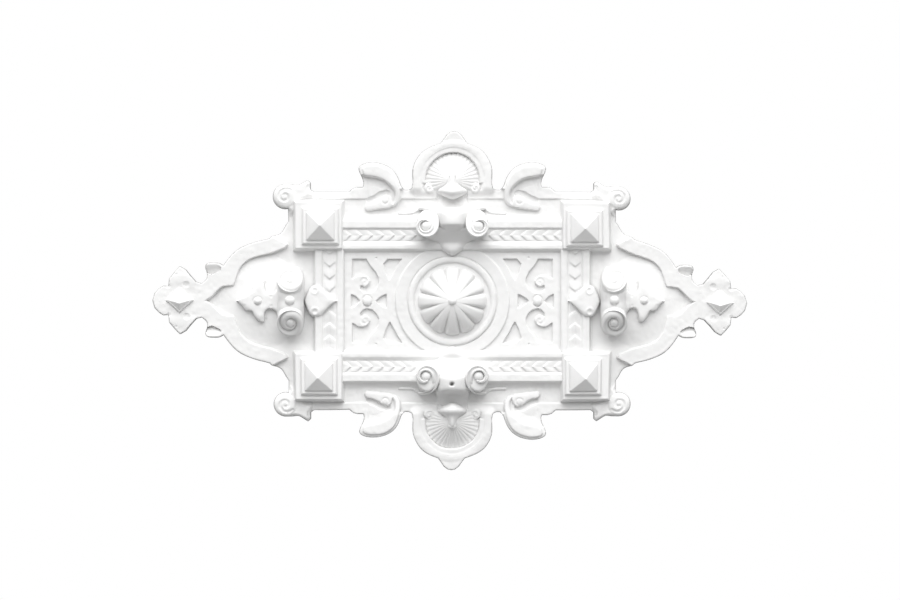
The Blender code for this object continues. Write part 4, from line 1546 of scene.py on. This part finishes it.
@dataclass
class Bracket:
    """The upright bracket at each side: waisted post, two tilted rolls and a bead."""

    middle: float = 271.8
    half_post: tuple[tuple[float, float, float], ...] = (
        (58, 15, 14), (52, 19, 22), (44, 22, 33), (34, 23.2, 45), (24, 23.4, 55), (16, 23.4, 60),
        (9, 23.2, 61))
    waist: tuple[float, float, float] = (0, 22.6, 60)
    post_power: float = 2.5
    roll_z: float = 37.0
    roll_radius: float = 22.0
    roll_stretch: float = 1.24
    roll_face: float = 51.0
    roll_thick: float = 30.0
    roll_foot: float = 7.0
    taper: float = 0.1
    tilt: float = 40.0
    pitch: float = 12.6
    start: float = 60.0
    start_radius: float = 2.0
    ridge: float = 5.0
    ridge_fullness: float = 0.7
    ridge_from: float = 5.6
    ridge_fade: float = 2.4
    groove: float = 2.2
    rounding: float = 2.6
    rounding_share: float = 0.14
    eye_radius: float = 6.6
    eye_rise: float = 4.6
    dust: float = 0.62
    dust_and_shade_depth: float = 3.4
    bead_z: float = 1.0
    bead_cap: tuple[float, float, float] = (8.4, 59.0, 8.4)

    def tilted(self, u: np.ndarray, v: np.ndarray, out: np.ndarray) -> tuple[np.ndarray, ...]:
        """Places on the tilted roll: u across, v up its face and out along its axis.

        The face leans to look away from the middle: depth = face + out cos t - v sin t and
        z = middle + v cos t + out sin t.

        Args:
            u: Distance across the face.
            v: Distance up the face.
            out: Distance in front of the face.

        Returns:
            X, depth and Z.
        """
        t = math.radians(self.tilt)
        v = v * self.roll_stretch
        depth = self.roll_face + out * math.cos(t) - v * math.sin(t)
        return (self.middle + u, np.maximum(depth, self.roll_foot),
                self.roll_z + v * math.cos(t) + out * math.sin(t))

    def roll(self, side: Side) -> bpy.types.Object:
        """A roll with a raised spiral on its face: the height follows the winding radius.

        The ridge is a sine of the phase (radius - start_radius) / pitch + turn, the eye is a dome
        in its middle, and the face's edge is rounded off.

        Args:
            side: The quarter it stands in.

        Returns:
            The roll.
        """
        wall, rows, count = 10, 80, 120
        turn = np.linspace(0, math.tau, count, endpoint=False)
        share = np.concatenate([np.full(wall, 1.0), np.linspace(1, 0.01, rows - wall)])
        out = np.concatenate([np.linspace(-self.roll_thick, -2.0, wall), np.zeros(rows - wall)])
        radius, angle = np.meshgrid(share * self.roll_radius, turn, indexing="ij")
        out = np.repeat(out[:, None], count, 1)
        face = np.repeat((np.arange(rows) >= wall)[:, None], count, 1)
        slim = 1 - self.taper + self.taper * np.clip(1 + out / self.roll_thick, 0, 1)
        turns = (angle - math.radians(self.start)) / math.tau
        phase = ((radius - self.start_radius) / self.pitch + turns) % 1.0
        ridge = np.sin(phase * math.pi) ** self.ridge_fullness * self.ridge - self.groove
        near_edge = (radius / self.roll_radius - 1) / self.rounding_share + 1
        fall = self.rounding * (1 - np.sqrt(1 - np.clip(near_edge, 0, 1) ** 2))
        eye = self.eye_rise * np.sqrt(np.clip(1 - (radius / self.eye_radius) ** 2, 0, 1))
        winding = eye + np.where(radius > self.eye_radius, ridge
                                 * ease((radius - self.ridge_from) / self.ridge_fade), 0)
        reach = radius * np.where(face, 1.0, slim)
        x, depth, z = self.tilted(reach * np.cos(angle), reach * np.sin(angle),
                                  np.where(face, out + winding - fall, out))
        # Dust and painted shade in the spiral's groove; its deepest places reach the painted dark
        # line.
        sunk = np.clip(1 - (winding + self.groove) / self.dust_and_shade_depth, 0, 1)
        return closed_sheet(f"bracket_roll_{side.name.lower()}", x, depth, z, side,
                            np.where(face, self.dust * sunk, 0), sharp=50.0)

    def build(self) -> list[bpy.types.Object]:
        """The four rolls, then each bracket's post, which draws in at its waist, and its bead.

        Returns:
            The pieces.
        """
        made = [self.roll(side) for side in Side]
        stations = [*((-z, half, depth) for z, half, depth in self.half_post), self.waist,
                    *self.half_post[::-1]]
        cap = round_cap(*self.bead_cap, lifts=(-0.6, 1.54), rows=30)
        for side, label in HALVES_ACROSS:
            made += [arch_loft(f"{label}_bracket_post", self.middle, stations, self.post_power,
                               side, rows=96),
                     turned(f"{label}_bracket_bead", (self.middle, self.bead_z), *cap, side)]
        return made


def feed(tree: bpy.types.NodeTree, node: bpy.types.Node, inputs: dict[str | int, object]) -> None:
    """Links the sockets among some values to a node's inputs, and sets the inputs to the others.

    Args:
        tree: Where the node is.
        node: The node.
        inputs: Sockets or values, by the input's name or number.
    """
    for label, value in inputs.items():
        if isinstance(value, bpy.types.NodeSocket):
            tree.links.new(value, node.inputs[label])
        else:
            node.inputs[label].default_value = value


def add_node(tree: bpy.types.NodeTree, kind: str, inputs: dict[str | int, object] | None = None,
             **settings: object) -> bpy.types.Node:
    """Adds one shader node.

    Args:
        tree: Where it goes.
        kind: Its type, without the words ShaderNode.
        inputs: Sockets or values, by the input's name or number.
        settings: Its properties, such as the operation.

    Returns:
        The node.
    """
    node = tree.nodes.new(f"ShaderNode{kind}")
    for label, value in settings.items():
        setattr(node, label, value)
    feed(tree, node, inputs or {})
    return node


def calculate(tree: bpy.types.NodeTree, operation: str, a: object,
              b: object) -> bpy.types.NodeSocket:
    """Adds one Math node fed by sockets or numbers, and returns its output."""
    return add_node(tree, "Math", {0: a, 1: b}, operation=operation).outputs[0]


def noise(tree: bpy.types.NodeTree, place: bpy.types.NodeSocket, scale: object, detail: float,
          rough: float = 0.5) -> bpy.types.NodeSocket:
    """Adds one Noise Texture at a scale per metre, and returns its value from 0 to 1."""
    return add_node(tree, "TexNoise", {"Vector": place, "Scale": scale, "Detail": detail,
                                       "Roughness": rough}).outputs[0]


def mixed(tree: bpy.types.NodeTree, share: bpy.types.NodeSocket, a: object,
          b: object) -> bpy.types.NodeSocket:
    """Adds one colour mix fed by sockets or colours.

    Args:
        tree: Where it goes.
        share: How much of the second colour shows.
        a: First colour.
        b: Second colour.

    Returns:
        The mixed colour.
    """
    mix = add_node(tree, "Mix", data_type="RGBA")
    feed(tree, mix, {MIX_SHARE: share, MIX_A: a, MIX_B: b})
    return mix.outputs[MIX_OUT]


def group_tree(name: str, inputs: dict[str, float], outputs: Sequence[str]) -> bpy.types.NodeTree:
    """Starts a shader group: a place, numbers with defaults, and outputs that are numbers.

    Args:
        name: Name of the group.
        inputs: Names and defaults of the number inputs.
        outputs: Names of the outputs.

    Returns:
        The group's tree, with its input and output nodes inside.
    """
    tree = bpy.data.node_groups.new(name, "ShaderNodeTree")
    tree.interface.new_socket("Place", in_out="INPUT", socket_type="NodeSocketVector")
    for label, value in inputs.items():
        made = tree.interface.new_socket(label, in_out="INPUT", socket_type="NodeSocketFloat")
        made.default_value = value
    for label in outputs:
        tree.interface.new_socket(label, in_out="OUTPUT", socket_type="NodeSocketFloat")
    tree.nodes.new("NodeGroupInput").name = "in"
    tree.nodes.new("NodeGroupOutput").name = "out"
    return tree


def cast_grain_group() -> bpy.types.NodeTree:
    """Height of cast plaster: soft sagging, fine grain, and small open pores in patches.

    Height = sag * slow noise + grain * fine noise - pores where a cell's middle is near.

    Returns:
        The group.
    """
    tree = group_tree("cast_grain", {"Sag": 0.5, "Grain": 0.25, "Pores": 0.5}, ("Height",))
    given = tree.nodes["in"].outputs
    place = given["Place"]
    slow = calculate(tree, "MULTIPLY", noise(tree, place, 55.0, 3.0, 0.55), given["Sag"])
    fine = calculate(tree, "MULTIPLY", noise(tree, place, 900.0, 4.0, 0.6), given["Grain"])
    cells = add_node(tree, "TexVoronoi", {"Vector": place, "Scale": 170.0})
    pit = add_node(tree, "MapRange", {"Value": cells.outputs["Distance"], "From Min": 0.05,
                                      "From Max": 0.16, "To Min": 1.0, "To Max": 0.0})
    some = calculate(tree, "GREATER_THAN", noise(tree, place, 30.0, 2.0), 0.55)
    pits = calculate(tree, "MULTIPLY", pit.outputs[0], some)
    total = calculate(tree, "SUBTRACT", calculate(tree, "ADD", slow, fine),
                      calculate(tree, "MULTIPLY", pits, given["Pores"]))
    feed(tree, tree.nodes["out"], {"Height": total})
    return tree


def chalk_tone_group() -> bpy.types.NodeTree:
    """How blotched the plaster is, and how much dust and painted shade it has, from slow noise and
    the sunk places.

    Blotch = noise of two scales, and Dust And Shade = sunk share times a patchy noise.

    Returns:
        The group.
    """
    tree = group_tree("chalk_tone", {"Sunk": 0.0, "Blotch Scale": 9.0}, ("Blotch", "Dust"))
    given = tree.nodes["in"].outputs
    place = given["Place"]
    wide = calculate(tree, "MULTIPLY", noise(tree, place, given["Blotch Scale"], 4.0), 0.7)
    small = calculate(tree, "MULTIPLY", noise(tree, place, 120.0, 3.0, 0.6), 0.3)
    patch = calculate(tree, "ADD", noise(tree, place, 35.0, 3.0, 0.55), 0.35)
    feed(tree, tree.nodes["out"], {"Blotch": calculate(tree, "ADD", wide, small),
                                   "Dust": calculate(tree, "MULTIPLY", given["Sunk"], patch)})
    return tree


@dataclass(frozen=True)
class PlasterFinish:
    """Matt white casting plaster: chalky tone, faint dust and painted shade in the hollows, a
    painted dark line on walls and edges, and cast grain.
    """

    name: str = "white_plaster_finish"
    light: Colour = (0.85, 0.849, 0.845, 1.0)
    shade: Colour = (0.79, 0.789, 0.785, 1.0)
    # Dust and painted shade: darkens hollows, creases and grooves by how sunk they are.
    dust: Colour = (0.40, 0.398, 0.392, 1.0)
    dust_and_shade_share: float = 0.75
    # Painted dark line: near black on the walls, the outline's very edge and the deepest grooves,
    # where shade falls.
    edge: Colour = (0.16, 0.158, 0.154, 1.0)
    shade_line_span: tuple[float, float] = (0.6, 0.95)
    shade_line_share: float = 0.8
    roughness: tuple[float, float] = (0.72, 0.9)
    specular: float = 0.3
    relief: float = 0.0006
    grain: float = 0.22
    pores: float = 0.5

    def make(self, grain: bpy.types.NodeTree, tone: bpy.types.NodeTree) -> bpy.types.Material:
        """Builds the material from the two shared groups.

        Args:
            grain: The cast_grain group.
            tone: The chalk_tone group.

        Returns:
            The material.
        """
        made = bpy.data.materials.new(self.name)
        made.use_nodes = True
        tree = made.node_tree
        place = add_node(tree, "TexCoord").outputs["Object"]
        sunk = add_node(tree, "Attribute", attribute_name="recess").outputs["Fac"]
        skin = add_node(tree, "Group", {"Place": place, "Grain": self.grain, "Pores": self.pores},
                        node_tree=grain)
        chalk = add_node(tree, "Group", {"Place": place, "Sunk": sunk}, node_tree=tone)
        base = mixed(tree, chalk.outputs["Blotch"], self.shade, self.light)
        # Dust and painted shade in the sunk places.
        dust_and_shade_mix = calculate(tree, "MULTIPLY", chalk.outputs["Dust"], self.dust_and_shade_share)
        low, high = self.shade_line_span
        # Painted shade line: the most sunk places, the walls and the outline's edge turn near
        # black.
        rim = add_node(tree, "MapRange", {"Value": sunk, "From Min": low, "From Max": high,
                                          "To Max": self.shade_line_share})
        smooth, rough = self.roughness
        matt = add_node(tree, "MapRange", {"Value": chalk.outputs["Blotch"], "To Min": smooth,
                                           "To Max": rough})
        bump = add_node(tree, "Bump", {"Height": skin.outputs["Height"], "Distance": self.relief,
                                       "Strength": 1.0})
        feed(tree, tree.nodes["Principled BSDF"], {
            "Base Color": mixed(tree, rim.outputs[0], mixed(tree, dust_and_shade_mix, base, self.dust),
                                self.edge),
            "Roughness": matt.outputs[0], "Normal": bump.outputs["Normal"],
            "Specular IOR Level": self.specular})
        return made


@dataclass
class Studio:
    """Pale floor, soft key light from above the front, pale surroundings and the camera."""

    floor_z: float = -2.6
    floor_half: float = 1.5
    floor_tone: Colour = (0.5, 0.5, 0.5, 1.0)
    floor_roughness: float = 0.9
    distance: float = 8.0
    lens: float = 189.8
    sensor: float = 36.0
    view_end: float = 60.0
    aim: tuple[float, float] = (-0.0039, 0.0017)
    white: Colour = (1.0, 1.0, 1.0, 1.0)
    air: float = 0.54
    air_fall: float = 0.70
    air_least: float = 0.02
    key: float = 2.78
    key_height: float = 52.0
    key_size: float = 62.0

    def floor(self) -> None:
        """Adds a plain pale sheet well below the rosette, as stage."""
        h, z = self.floor_half, self.floor_z
        mesh = bpy.data.meshes.new("studio_floor")
        mesh.from_pydata([(-h, -h, z), (h, -h, z), (h, h, z), (-h, h, z)], [], [(0, 1, 2, 3)])
        made = bpy.data.objects.new("studio_floor", mesh)
        bpy.context.scene.collection.objects.link(made)
        paint = bpy.data.materials.new("pale_floor")
        paint.use_nodes = True
        feed(paint.node_tree, paint.node_tree.nodes["Principled BSDF"],
             {"Base Color": self.floor_tone, "Roughness": self.floor_roughness})
        mesh.materials.append(paint)

    def light(self) -> None:
        """World that the camera sees as white paper, brighter above than below, and one soft sun.

        Its strength for all other rays is air + air_fall times how far the ray points up.
        """
        scene = bpy.context.scene
        world = bpy.data.worlds.new("studio_air")
        world.use_nodes = True
        scene.world = world
        tree = world.node_tree
        sky = add_node(tree, "TexCoord").outputs["Generated"]
        up = add_node(tree, "SeparateXYZ", {0: sky}).outputs["Z"]
        strength = calculate(tree, "ADD", calculate(tree, "MULTIPLY", up, self.air_fall), self.air)
        soft = tree.nodes["Background"]
        feed(tree, soft, {"Color": self.white,
                          "Strength": calculate(tree, "MAXIMUM", strength, self.air_least)})
        paper = add_node(tree, "Background", {"Color": self.white, "Strength": 1.0})
        seen = add_node(tree, "LightPath").outputs["Is Camera Ray"]
        mix = add_node(tree, "MixShader", {0: seen, 1: soft.outputs[0], 2: paper.outputs[0]})
        feed(tree, tree.nodes["World Output"], {"Surface": mix.outputs[0]})
        lamp = bpy.data.lights.new("soft_key", "SUN")
        lamp.energy = self.key
        lamp.angle = math.radians(self.key_size)
        made = bpy.data.objects.new("soft_key", lamp)
        made.rotation_euler = (math.radians(90 - self.key_height), 0, 0)
        scene.collection.objects.link(made)
        scene.view_settings.view_transform = "Standard"

    def camera(self) -> None:
        """Camera square to the relief, at the photograph's scale."""
        lens = bpy.data.cameras.new("front_camera")
        lens.lens, lens.sensor_width, lens.clip_end = self.lens, self.sensor, self.view_end
        made = bpy.data.objects.new("front_camera", lens)
        made.location = (self.aim[0], -self.distance, self.aim[1])
        made.rotation_euler = (math.pi / 2, 0, 0)
        bpy.context.scene.collection.objects.link(made)
        bpy.context.scene.camera = made


def dress(pieces: Iterable[bpy.types.Object], material: bpy.types.Material) -> None:
    """Gives pieces their finish, sets them on the body they ride on, and hides the imported part
    they stand in for.

    Args:
        pieces: The pieces.
        material: Their finish.
    """
    for piece in pieces:
        piece.data.materials.append(material)
        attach(piece, BODY)
        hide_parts(NODE)
        LOG.info("%s: %d faces", piece.name, len(piece.data.polygons))


def main() -> None:
    """Builds each sub-assembly in order, dresses it, then sets the studio."""
    logging.basicConfig(level=logging.INFO, format="%(name)s %(message)s")
    plaster = PlasterFinish().make(cast_grain_group(), chalk_tone_group())
    face = CarvedFace(Outline(), Ground(), PictureFrame(), Medallion(),
                      (Strapwork(), ScrollLeaf(), CornerScroll(), CartoucheRim(), LobeCarving()))
    for part in (face, Bosses(), EndDiamonds(), GadroonDome(), Console(), Cartouche(), Bracket()):
        dress(part.build(), plaster)
    studio = Studio()
    studio.floor()
    studio.light()
    studio.camera()


if __name__ == "__main__":
    main()
